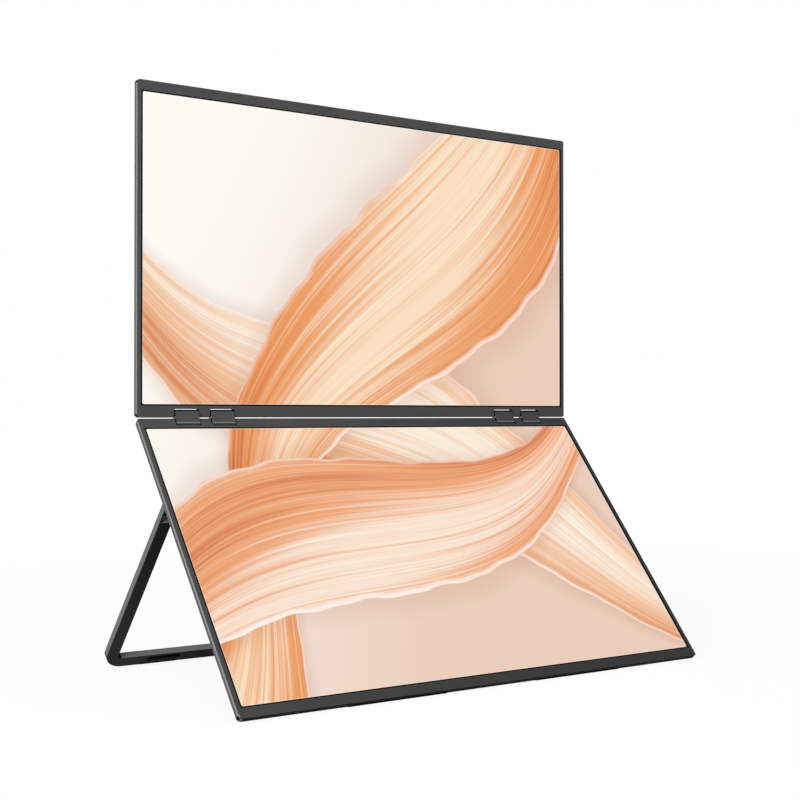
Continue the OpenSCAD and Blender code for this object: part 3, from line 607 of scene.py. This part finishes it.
@dataclass(frozen=True)
class LitPicture:
    """Picture of the displays: ribbons of silk that run across both screens, in a black border.

    Attributes:
        name: The material's name.
        ribbons: The ribbons, from the lowest to the topmost.
        ground_left: Colour of the ground at the upper left.
        ground_right: Colour of the ground at the lower right.
        half: Half of the picture's width and height on the panel's own map, in millimetres.
        corner: Radius of its corners, in millimetres.
        glow: Width of the paler line along its edge, in millimetres.
        glow_share: How much white that line has.
        fade: Where the ground starts and stops to change, in decimetres right plus half the decimetres down.
        border: Colour round the picture.
        glass: Base colour of the unlit glass.
        specular: Its specular level.
        roughness: Its least roughness.
        spread: How much rougher the grain makes it at most.
    """

    name: str
    ribbons: tuple[Ribbon, ...]
    ground_left: str
    ground_right: str
    half: tuple[float, float]
    corner: float = 1.0
    glow: float = 0.7
    glow_share: float = 0.4
    fade: tuple[float, float] = (-2.3, 1.0)
    border: Colour = grey(0.0015)
    glass: Colour = grey(0.01)
    specular: float = 0.1
    roughness: float = 0.45
    spread: float = 0.1

    def build(self) -> bpy.types.Material:
        """Make the glowing material, which reads two UV maps of the piece: picture and panel.

        Returns:
            The material.
        """
        material = bpy.data.materials.new(self.name)
        material.use_nodes = True
        tree = material.node_tree
        shader = tree.nodes["Principled BSDF"]
        feed(tree, shader.inputs["Base Color"], self.glass)
        shader.inputs["Specular IOR Level"].default_value = self.specular
        shader.inputs["Emission Strength"].default_value = 1.0
        place = tree.nodes.new("ShaderNodeUVMap")
        place.uv_map = "picture"
        x, y, _ = parts(tree, place.outputs["UV"])
        share = (x - y * 0.5).ramp(*self.fade)
        colour = mix(tree, share, linear(self.ground_left), linear(self.ground_right))
        for ribbon in self.ribbons:
            values = {"Vector": place.outputs["UV"], "Under": colour, **ribbon.inputs()}
            colour = place_group(tree, "silk_ribbon", values).outputs["Color"]
        beyond = self._beyond(tree)
        colour = mix(tree, beyond.ramp(-self.glow, 0.0) * self.glow_share, colour, WHITE)
        colour = mix(tree, beyond.ramp(-0.02, 0.02), colour, self.border)
        tree.links.new(colour, shader.inputs["Emission Color"])
        where = tree.nodes.new("ShaderNodeTexCoord").outputs["Object"]
        grain = place_group(tree, "fine_grain", {"Vector": where, "Size": 0.4 * MM, "Patches": 40 * MM})
        tone = Signal(tree, grain.outputs["Tone"])
        feed(tree, shader.inputs["Roughness"], tone * self.spread + self.roughness)
        return material

    def _beyond(self, tree: bpy.types.NodeTree) -> Signal:
        """Distance past the picture's edge, a rectangle with round corners, negative inside it.

        With q the place's distance beyond the inner rectangle that lacks the corner radius, on each axis,
        it is the length of q's positive part plus q's larger part where that is negative, less the radius.

        Args:
            tree: The node tree to add to.

        Returns:
            The distance, in millimetres.
        """
        place = tree.nodes.new("ShaderNodeUVMap")
        place.uv_map = "panel"
        x, y, _ = parts(tree, place.outputs["UV"])
        q_x = x.size() - (self.half[0] - self.corner)
        q_y = y.size() - (self.half[1] - self.corner)
        out_x, out_y = q_x.math("MAXIMUM", 0.0), q_y.math("MAXIMUM", 0.0)
        far = (out_x * out_x + out_y * out_y).math("SQRT")
        return far + q_x.math("MAXIMUM", q_y).math("MINIMUM", 0.0) - self.corner


def mesh_piece(name: str, points: np.ndarray, faces: list[list[int]]) -> bpy.types.Object:
    """Put points and faces into a new object.

    Args:
        name: The piece's name.
        points: Its corners, one row each, in metres.
        faces: The corners of each face, anticlockwise seen from outside.

    Returns:
        The object, linked to the scene.
    """
    mesh = bpy.data.meshes.new(name)
    mesh.from_pydata(points.tolist(), [], faces)
    mesh.update()
    piece = bpy.data.objects.new(name, mesh)
    bpy.context.scene.collection.objects.link(piece)
    return piece


@dataclass
class DisplayUnit:
    """The lit display of one screen.

    Attributes:
        unit: Which screen.
        lean: Its lean from upright, in degrees.
        half_gap: Half of the distance between the two pictures, along the screens, in millimetres.
        side: Black glass past the picture at the left and right, in millimetres.
        foot: Black glass past its lower edge.
        head: Black glass past its upper edge.
        half: Half of the picture's width and height on its panel map.
        columns: Grid lines from left to right.
        rows: Grid lines from bottom to top.
    """

    unit: Unit
    lean: float
    half_gap: float
    side: float
    foot: float
    head: float
    half: tuple[float, float]
    columns: int = 97
    rows: int = 57

    def build(self, frame: dict, picture: bpy.types.Material) -> bpy.types.Object:
        """Make the display with its picture.

        Args:
            frame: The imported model.
            picture: The picture's material.

        Returns:
            The display.
        """
        node = f"{self.unit.value}_lcd_panel"
        vertices = frame["nodes"][node].data.vertices
        points = np.empty(len(vertices) * 3, np.float32)
        vertices.foreach_get("co", points)
        axes = self._axes()
        own = points.reshape(-1, 3).astype(float) @ axes.T
        low, high = own.min(0), own.max(0)
        right, up = np.linspace(low[0], high[0], self.columns), np.linspace(low[1], high[1], self.rows)
        across, along = np.meshgrid(right, up)
        corners, faces = self._slab(across, along, low[2], high[2])
        piece = mesh_piece(f"{self.unit.value}_display", corners @ axes, faces.tolist())
        self._add_maps(piece, across, along)
        piece.data.materials.append(picture)
        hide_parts(node)
        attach(piece, f"{self.unit.value}_unit")
        return piece

    def _axes(self) -> np.ndarray:
        """Work out the screen's own axes.

        Returns:
            Their directions as rows: to the right, up along the screen, and out of its face.
        """
        angle = math.radians(self.lean)
        sine, cosine = math.sin(angle), math.cos(angle)
        return np.array([[1, 0, 0], [0, sine, cosine], [0, -cosine, sine]])

    @staticmethod
    def _slab(across: np.ndarray, along: np.ndarray, back: float,
              front: float) -> tuple[np.ndarray, np.ndarray]:
        """Points and faces of a slab over a grid of places.

        Its front is the grid of points (across, along, front), and its back is the same grid at the depth
        back, turned over. Quads round the edge join the two.

        Args:
            across: Each grid point's place across the screen.
            along: Its place up the screen.
            back: How far out of the screen the back lies.
            front: How far out of the screen the front lies.

        Returns:
            The points on the screen's own axes, and the corners of each face.
        """
        layers = [np.stack([across, along, np.full(across.shape, out)], axis=2) for out in (front, back)]
        points = np.concatenate([layer.reshape(-1, 3) for layer in layers])
        count = across.size
        index = np.arange(count).reshape(across.shape)
        quads = [index[:-1, :-1], index[:-1, 1:], index[1:, 1:], index[1:, :-1]]
        face = np.stack(quads, axis=2).reshape(-1, 4)
        ring = np.concatenate([index[0, :-1], index[:-1, -1], index[-1, :0:-1], index[:0:-1, 0]])
        following = np.roll(ring, -1)
        sides = np.stack([ring, ring + count, following + count, following], axis=1)
        return points, np.concatenate([face, face[:, ::-1] + count, sides])

    def _add_maps(self, piece: bpy.types.Object, across: np.ndarray, along: np.ndarray) -> None:
        """Give the display its two UV maps.

        The picture map is in decimetres, with 0 at the middle across and halfway between the two pictures.
        The panel map is in millimetres, with 0 at the middle of this screen's own picture.

        Args:
            piece: The display.
            across: Each grid point's place across the screen, in metres.
            along: Its place up the screen, in metres.
        """
        left, right = across[0, 0] + self.side * MM, across[-1, -1] - self.side * MM
        foot, head = along[0, 0] + self.foot * MM, along[-1, -1] - self.head * MM
        shift = self.half_gap * MM - foot if self.unit is Unit.UPPER else -self.half_gap * MM - head
        self._map(piece, "picture", across * DECIMETRES, (along + shift) * DECIMETRES)
        self._map(
            piece, "panel",
            (across - (left + right) / 2) * 2 * self.half[0] / (right - left),
            (along - (foot + head) / 2) * 2 * self.half[1] / (head - foot),
        )

    @staticmethod
    def _map(piece: bpy.types.Object, name: str, u: np.ndarray, v: np.ndarray) -> None:
        """Write a UV map from the front's grid of places, which serves the back too.

        Args:
            piece: The display.
            name: The map's name.
            u: Each grid point's first number on the map.
            v: Its second number.
        """
        layer = piece.data.uv_layers.new(name=name)
        corners = np.empty(len(piece.data.loops), np.int32)
        piece.data.loops.foreach_get("vertex_index", corners)
        pairs = np.stack([u.ravel(), v.ravel()], axis=1)[corners % u.size]
        layer.data.foreach_set("uv", pairs.ravel().astype(np.float32))


@dataclass
class Wardrobe:
    """Dresses every CAD node.

    Attributes:
        axes: The own axes of each part, by the words that start or end its nodes' names.
        finishes: The finish of each kind of node, by the words that end its name.
    """

    axes: dict[str, Axes]
    finishes: dict[str, Finish]

    def dress(self, frame: dict) -> None:
        """Give every CAD node the finish and axes whose words fit its name, the longest words first.

        Args:
            frame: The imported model.
        """
        made: dict[str, bpy.types.Material] = {}
        for name, node in frame["nodes"].items():
            finish = self.finishes[max((e for e in self.finishes if name.endswith(e)), key=len)]
            part = max((a for a in self.axes if name.startswith(a) or name.endswith(a)), key=len)
            label = f"{part.strip('_')}_{finish.name}"
            if label not in made:
                made[label] = finish.build(part.strip("_"), self.axes[part])
            node.data.materials.clear()
            node.data.materials.append(made[label])
            log.info("node %s: %s", name, label)


@dataclass
class Studio:
    """Pale floor, white surroundings, a soft lamp and the camera.

    Attributes:
        floor_radius: Radius of the floor, in metres.
        eye: The camera's place.
        turn: Its turn to the right of straight ahead, in degrees.
        tilt: Its tilt above level, in degrees.
        lens: Its focal length, in millimetres.
        sensor: Width of its sensor, in millimetres.
        shift: How far the picture's middle lies off the axis, in widths.
        clip: Nearest and farthest distance that it sees, in metres.
        horizon: Strength of the surroundings' light from level directions.
        zenith: Strength of their light from straight above and below.
        left_gain: How much stronger they are at the left, and weaker at the right.
        floor_matt: Grey level of the floor's matt part.
        floor_glow: Strength of its glow near the object, for the rays that see it.
        floor_fade: Squares of the distances, in metres, between which the glow rises to 1.
        lamp_place: The lamp's middle, in metres.
        lamp_aim: The point that it faces.
        lamp_size: The length of its side, in metres.
        lamp_power: Its power, in watts.
    """

    floor_radius: float = 12.0
    eye: tuple[float, float, float] = (-0.53139, -0.76797, 0.16758)
    turn: float = 34.561
    tilt: float = 0.617
    lens: float = 62.405
    sensor: float = 36.0
    shift: tuple[float, float] = (0.000725, -0.0012375)
    clip: tuple[float, float] = (0.05, 100.0)
    horizon: float = 0.85
    zenith: float = 0.3
    left_gain: float = 0.3
    floor_matt: float = 0.2
    floor_glow: float = 0.88
    floor_fade: tuple[float, float] = (0.2, 2.5)
    lamp_place: tuple[float, float, float] = (-3.0, -1.3, 0.5)
    lamp_aim: tuple[float, float, float] = (0.0, 0.0, 0.2)
    lamp_size: float = 1.8
    lamp_power: float = 100.0

    def build(self) -> None:
        """Make everything that isn't part of the object."""
        self._camera()
        self._world()
        self._floor()
        self._lamp()
        bpy.context.scene.view_settings.view_transform = "Standard"

    def _camera(self) -> None:
        """The photograph's view: straight ahead is +Y, and the horizon is level."""
        turn, tilt = math.radians(self.turn), math.radians(self.tilt)
        ahead = Vector((math.sin(turn) * math.cos(tilt), math.cos(turn) * math.cos(tilt), math.sin(tilt)))
        right = Vector((math.cos(turn), -math.sin(turn), 0))
        up = right.cross(ahead)
        data = bpy.data.cameras.new("camera")
        data.sensor_width, data.lens = self.sensor, self.lens
        data.shift_x, data.shift_y = self.shift
        data.clip_start, data.clip_end = self.clip
        camera = bpy.data.objects.new("camera", data)
        rotation = Matrix((right, up, -ahead)).transposed().to_4x4()
        camera.matrix_world = Matrix.Translation(self.eye) @ rotation
        bpy.context.scene.collection.objects.link(camera)
        bpy.context.scene.camera = camera

    @staticmethod
    def _seen(tree: bpy.types.NodeTree) -> Signal:
        """Tell the rays that see the white surroundings: straight, mirrored and through glass.

        Args:
            tree: The node tree to add to.

        Returns:
            1 for those rays and 0 for the others.
        """
        path = tree.nodes.new("ShaderNodeLightPath")
        camera, glossy, through = (Signal(tree, path.outputs[ray.value]) for ray in Ray)
        return camera.math("MAXIMUM", glossy).math("MAXIMUM", through)

    def _world(self) -> None:
        """White where it is seen. Its light is soft, strongest from level directions and from the left."""
        world = bpy.data.worlds.new("surroundings")
        world.use_nodes = True
        bpy.context.scene.world = world
        tree = world.node_tree
        background = tree.nodes["Background"]
        feed(tree, background.inputs["Color"], WHITE)
        where = tree.nodes.new("ShaderNodeTexCoord")
        x, _, z = parts(tree, where.outputs["Generated"])
        level = z.size().ramp(0.0, 1.0) * (self.zenith - self.horizon) + self.horizon
        light = level * (x * -self.left_gain + 1.0)
        seen = self._seen(tree)
        feed(tree, background.inputs["Strength"], seen + (seen * -1.0 + 1.0) * light)

    def _floor(self) -> None:
        """A round floor in rings: a point at radius r and angle a is (r cos a, r sin a, 0).

        The rings' radii are the floor's radius times the squares of even steps from 0 to 1.
        """
        rings, spokes = 24, 96
        radius = self.floor_radius * np.linspace(0, 1, rings) ** 2
        angle = np.linspace(0, 2 * np.pi, spokes, endpoint=False)
        r, a = np.meshgrid(radius[1:], angle, indexing="ij")
        points = np.stack([r * np.cos(a), r * np.sin(a), np.zeros(r.shape)], axis=2).reshape(-1, 3)
        spoke = np.arange(spokes)
        start = np.arange(rings - 2)[:, None] * spokes
        first, beside = (start + spoke).ravel(), (start + np.roll(spoke, -1)).ravel()
        quads = np.stack([first, first + spokes, beside + spokes, beside], axis=1)
        fan = np.stack([np.full(spokes, len(points)), spoke, np.roll(spoke, -1)], axis=1)
        floor = mesh_piece("floor", np.concatenate([points, [[0, 0, 0]]]), quads.tolist() + fan.tolist())
        floor.data.materials.append(self._floor_finish())

    def _floor_finish(self) -> bpy.types.Material:
        """Make the pale matt floor. A glow whitens it where it is seen, and leaves the object's shadow.

        Returns:
            The material.
        """
        material = bpy.data.materials.new("pale_floor")
        material.use_nodes = True
        tree = material.node_tree
        tree.nodes.remove(tree.nodes["Principled BSDF"])
        matt = tree.nodes.new("ShaderNodeBsdfDiffuse")
        glow = tree.nodes.new("ShaderNodeEmission")
        both = tree.nodes.new("ShaderNodeAddShader")
        feed(tree, matt.inputs["Color"], grey(self.floor_matt))
        where = tree.nodes.new("ShaderNodeTexCoord")
        x, y, _ = parts(tree, where.outputs["Object"])
        away = (x * x + y * y).ramp(*self.floor_fade)
        strength = self._seen(tree) * (away * (1 - self.floor_glow) + self.floor_glow)
        feed(tree, glow.inputs["Strength"], strength)
        tree.links.new(matt.outputs[0], both.inputs[0])
        tree.links.new(glow.outputs[0], both.inputs[1])
        tree.links.new(both.outputs[0], tree.nodes["Material Output"].inputs["Surface"])
        return material

    def _lamp(self) -> None:
        """A square soft lamp."""
        data = bpy.data.lights.new("key", "AREA")
        data.size, data.energy = self.lamp_size, self.lamp_power
        lamp = bpy.data.objects.new("key", data)
        lamp.location = self.lamp_place
        lamp.rotation_mode = "QUATERNION"
        towards = Vector(self.lamp_aim) - Vector(self.lamp_place)
        lamp.rotation_quaternion = towards.to_track_quat("-Z", "Y")
        bpy.context.scene.collection.objects.link(lamp)


# Measures in millimetres from the middle of the model, or of a link
SIDE = 176.3
WINDOW_HALF = 172.5
LEG_INNER = 165.3
LEG_OUTER = 173.7
LINK_HALF = 8.4
NOTCH_HALF = 8.9
# Measures in millimetres along a screen, from its hinge edge
HEIGHT = 212.0
WINDOW_ROWS = (8.0, 205.0)
UPPER_NOTCH = 5.45
LOWER_NOTCH = 5.7
# Measures in millimetres along the stand from its hinge, and from its middle plane to its front
POCKET_END = 13.6
BAR_START = 139.2
STAND_FACE = 2.3
# Folds that bring the four links and their notches together
LINK_PAIRS = {"fold": 129.1, "step": 12.6}
# A lower limit for what starts at the middle or at a hinge edge, where the measure is 0
START = -1.0

# Specular level of the matt plastics
MATT = 0.03
# Painted shade: black of shaded walls and edges, also the foot strips' own rubber; pitch black in recesses
SHADE_AND_RUBBER_BLACK = grey(0.001)
RECESS_SHADE_BLACK = grey(0.0)


def notch_and_corner_shade(notch: float) -> tuple[Zone, ...]:
    """Painted shade: black walls of the notches and round corners of a screen's frame and cover.

    Args:
        notch: Depth of the notches, in millimetres.

    Returns:
        The zones.
    """
    behind = (-FAR, -0.06)
    notch_across, notch_along = (START, NOTCH_HALF + 0.05), (START, notch + 0.06)
    corner_across, corner_reach = (SIDE - 1.7, FAR), 2.3
    return (
        Zone(SHADE_AND_RUBBER_BLACK, across=notch_across, along=notch_along, out=behind, **LINK_PAIRS),
        Zone(SHADE_AND_RUBBER_BLACK, across=corner_across, along=(HEIGHT - corner_reach, FAR), out=behind),
        Zone(SHADE_AND_RUBBER_BLACK, across=corner_across, along=(-FAR, corner_reach), out=behind),
    )


def bezel_finish(name: str, fade: ShadeFade, notch: float, last: tuple[Zone, ...] = ()) -> Finish:
    """Front frame finish: a painted highlight on each side edge and painted shade in black round the
    picture.

    Args:
        name: The finish's name.
        fade: Painted shade, the way its tone falls off over the face.
        notch: Depth of the notches, in millimetres.
        last: More zones.

    Returns:
        The finish.
    """
    line, side_line = 0.42, 0.65
    rows = (WINDOW_ROWS[0] - line, WINDOW_ROWS[1] + line)
    # Painted shade: a black line round the picture. Painted highlight: pale chamfer and sides at each side.
    window_shade = Zone(SHADE_AND_RUBBER_BLACK, across=(START, WINDOW_HALF + side_line), along=rows)
    side_highlight = Zone(grey(0.25), across=(SIDE - 0.42, FAR))
    zones = (fade, side_highlight, window_shade, *notch_and_corner_shade(notch), *last)
    return Finish(name, cool_grey(0.103), 0.55, specular=MATT, zones=zones)


def cover_finish(name: str, zones: tuple[Zone, ...]) -> Finish:
    """Finish of a screen's rear cover with the given zones."""
    return Finish(name, cool_grey(0.11), 0.6, specular=MATT, bump=0.00003, zones=zones)


# Painted shade in black on the lower screen's underside, with a painted highlight at each end, and
# painted highlights on the pale tips of its front
UNDERSIDE_SHADE_AND_GLEAM = (
    Zone(SHADE_AND_RUBBER_BLACK, along=(HEIGHT - 0.1, FAR)),
    Zone(grey(0.18), across=(SIDE - 2.5, SIDE - 0.9), along=(HEIGHT - 0.9, FAR), out=(-3.0, -0.3)),
)
TIP_HIGHLIGHTS = Zone(grey(0.3), across=(SIDE - 1.1, FAR), along=(HEIGHT - 3.0, HEIGHT - 1.0), out=(-0.06, FAR))

# Painted shade: each screen's frame gets darker towards its lower right
UPPER_PAINTED_SHADE = ShadeFade(cool_grey(0.087), across=0.3, along=-1.0, start=-120.0, end=20.0)
LOWER_PAINTED_SHADE = ShadeFade(cool_grey(0.053), across=0.8, along=0.8, start=-200.0, end=280.0)
UPPER_BEZEL = bezel_finish("upper_bezel", UPPER_PAINTED_SHADE, UPPER_NOTCH)
LOWER_BEZEL = bezel_finish("lower_bezel", LOWER_PAINTED_SHADE, LOWER_NOTCH, (*UNDERSIDE_SHADE_AND_GLEAM, TIP_HIGHLIGHTS))
UPPER_COVER = cover_finish("upper_cover", notch_and_corner_shade(UPPER_NOTCH))
LOWER_COVER = cover_finish("lower_cover", (*notch_and_corner_shade(LOWER_NOTCH), *UNDERSIDE_SHADE_AND_GLEAM))

# Painted shade: the dark tone of the stand's down-facing front, also taken by the foot pads and bumpers
FRONT_SHADE_OF_STAND = grey(0.017)
# Painted shade: the left leg's front gets paler towards its lower end; all right of it has one darker tone
STAND_FRONT_SHADING = (
    ShadeFade(cool_grey(0.068), across=0.0, along=1.0, start=-20.0, end=165.0),
    ShadeFade(grey(0.03), across=1.0, along=0.0, start=-165.0, end=-85.0),
)
# The zones are, in order: all behind its front, in the stand's own tone; painted light on the legs' outer
# sides and on the crossbar's upper side; painted shade on the ends of that; painted light on the shoulders
# of the pockets; and painted shade on the walls of the slot
STAND = Finish(
    "stand_matt", FRONT_SHADE_OF_STAND, 0.6, specular=MATT, grain=0.3,
    zones=(
        *STAND_FRONT_SHADING,
        Zone(cool_grey(0.06), out=(-FAR, STAND_FACE - 0.04)),
        Zone(cool_grey(0.16), across=(LEG_OUTER - 0.1, FAR)),
        Zone(cool_grey(0.26), across=(START, LEG_INNER - 3.0), along=(100.0, BAR_START + 0.1)),
        Zone(SHADE_AND_RUBBER_BLACK, across=(LEG_INNER - 3.0, LEG_INNER - 0.05), along=(134.0, BAR_START + 0.1)),
        Zone(grey(0.3), across=(START, LEG_OUTER - 0.15), along=(POCKET_END - 2.1, POCKET_END + 0.1),
             out=(-2.2, STAND_FACE - 0.05)),
        Zone(RECESS_SHADE_BLACK, across=(119.0, 143.1), along=(141.0, 145.3), out=(0.5, STAND_FACE - 0.02)),
    ),
)
# Painted shade darkens the right pair of links. The zones are, in order: a painted highlight along the lower
# edge, painted shade on the upper end, painted shade on the sides and a painted highlight on those
LINK = Finish(
    "link_satin", cool_grey(0.0975), 0.5, specular=MATT, grain=0.2,
    zones=(
        ShadeFade(cool_grey(0.079), across=1.0, along=0.0, start=-60.0, end=60.0),
        Zone(grey(0.24), along=(-1.35, -0.65), out=(1.0, FAR)),
        Zone(SHADE_AND_RUBBER_BLACK, along=(6.75, FAR), soft=0.25),
        Zone(SHADE_AND_RUBBER_BLACK, across=(LINK_HALF - 0.04, FAR), **LINK_PAIRS),
        Zone(grey(0.25), across=(LINK_HALF - 0.04, FAR), along=(2.2, 3.1), **LINK_PAIRS),
    ),
)
# Painted shade in the leaf's dark patch, and painted light on its pale end
LEAF_SHADE_AND_LIGHT = (Zone(SHADE_AND_RUBBER_BLACK, along=(7.4, 9.2)), Zone(grey(0.3), along=(9.2, FAR)))
LEAF = Finish("leaf_steel", cool_grey(0.04), 0.5, specular=MATT, bump=0.00001, zones=LEAF_SHADE_AND_LIGHT)
BLACK = Finish("black_satin", cool_grey(0.012), 0.45, specular=0.3)
PAD = Finish("pad_rubber", SHADE_AND_RUBBER_BLACK, 0.9, specular=0.02, grain=0.6)
# The foot pads and bumpers carry the stand front's painted shade; the bumpers' upper part is black painted
# shade
FOOT = Finish("foot_rubber", FRONT_SHADE_OF_STAND, 0.9, specular=MATT, grain=0.6, zones=STAND_FRONT_SHADING)
INSERT_SHADE = (*STAND_FRONT_SHADING, Zone(RECESS_SHADE_BLACK, along=(-FAR, 143.5)))
INSERT = Finish("insert_rubber", FRONT_SHADE_OF_STAND, 0.9, specular=0.02, grain=0.6, zones=INSERT_SHADE)
STEEL = Finish("plain_steel", (0.6, 0.61, 0.63), 0.32, metallic=1.0, bump=0.00001)
DARK_STEEL = Finish("dark_steel", cool_grey(0.03), 0.42, specular=0.3, bump=0.00001)
ALUMINIUM = Finish("plain_aluminium", (0.7, 0.71, 0.72), 0.38, metallic=1.0)
BOARD = Finish("green_board", (0.01, 0.09, 0.035), 0.4, bump=0.00001)
FILM = Finish("white_film", (0.75, 0.76, 0.78), 0.5)

# Where each part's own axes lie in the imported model
UPPER_AXES = Axes((0.0, 0.0365955, 0.165254), turn=90.0)
LOWER_AXES = Axes((0.0, 0.0364307, 0.164801), turn=50.0, mirrored=True)
STAND_AXES = Axes((0.0, 0.0009293, 0.113002), turn=131.0765, mirrored=True)
LINK_AXES = Axes((0.0, 0.0365499, 0.162221), turn=70.0)

WARDROBE = Wardrobe(
    {"upper_": UPPER_AXES, "lower_": LOWER_AXES, "stand_": STAND_AXES, "_link": LINK_AXES},
    {
        "upper_bezel_frame": UPPER_BEZEL, "lower_bezel_frame": LOWER_BEZEL, "upper_rear_cover": UPPER_COVER,
        "lower_rear_cover": LOWER_COVER, "lcd_panel": BLACK, "backlight": FILM, "led_bar": FILM,
        "support_plate": ALUMINIUM, "panel_board": BOARD, "ribbon_cable": FILM, "driver_board": BOARD,
        "sockets": STEEL, "video_socket": STEEL, "headphone_socket": BLACK, "speakers": BLACK,
        "hinge_brackets": DARK_STEEL, "hinge_pins": STEEL, "screws": DARK_STEEL, "power_button": BLACK,
        "menu_button": BLACK, "button_switches": STEEL, "foot_strips": PAD, "_link": LINK,
        "stand_frame": STAND, "stand_hinge_housings": DARK_STEEL, "stand_leaves": LEAF,
        "stand_shafts": STEEL, "stand_friction_discs": STEEL, "stand_foot_pads": FOOT,
        "stand_bumpers": INSERT,
    },
)

# Half of the picture's width and height on each display's panel map, in millimetres
PANEL_HALF = (172.0, 97.9)

PICTURE = LitPicture(
    "lit_picture",
    (
        Ribbon(
            turn=-36.0, offset=-0.2, sweep=0.22, waves=1.5, phase=0.6, width=0.66, turns=1.15, start=1.2,
            strands=34.0, folds=2.3, fold_start=0.3, dark="DB8552", middle="F5C29B", light="FFF1E0",
        ),
        Ribbon(
            turn=54.0, offset=0.3, sweep=0.26, waves=1.2, phase=2.2, width=0.74, turns=1.05, start=0.1,
            strands=38.0, folds=2.1, fold_start=1.2, dark="CB5F22", middle="F09E60", light="FFE6C8",
        ),
        Ribbon(
            turn=24.0, offset=-0.72, sweep=0.3, waves=1.3, phase=3.9, width=0.6, turns=1.25, start=2.7,
            strands=34.0, folds=2.6, fold_start=2.9, dark="D06A33", middle="F2AA7A", light="FFEAD8",
        ),
    ),
    ground_left="FBF9F2",
    ground_right="E8CAB7",
    half=PANEL_HALF,
)

DISPLAYS = (
    DisplayUnit(Unit.UPPER, lean=0.0, half_gap=11.0, side=1.2, foot=1.23, head=1.03, half=PANEL_HALF),
    DisplayUnit(Unit.LOWER, lean=40.0, half_gap=11.0, side=1.25, foot=1.33, head=0.98, half=PANEL_HALF),
)


def main() -> None:
    """Build everything in order and report each piece."""
    logging.basicConfig(level=logging.INFO, format="%(message)s")
    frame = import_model()
    for make_group in (silk_ribbon_group, fine_grain_group, zone_group):
        make_group()
    WARDROBE.dress(frame)
    picture = PICTURE.build()
    for display in DISPLAYS:
        piece = display.build(frame, picture)
        log.info("piece %s: %d faces", piece.name, len(piece.data.polygons))
    Studio().build()


if __name__ == "__main__":
    main()
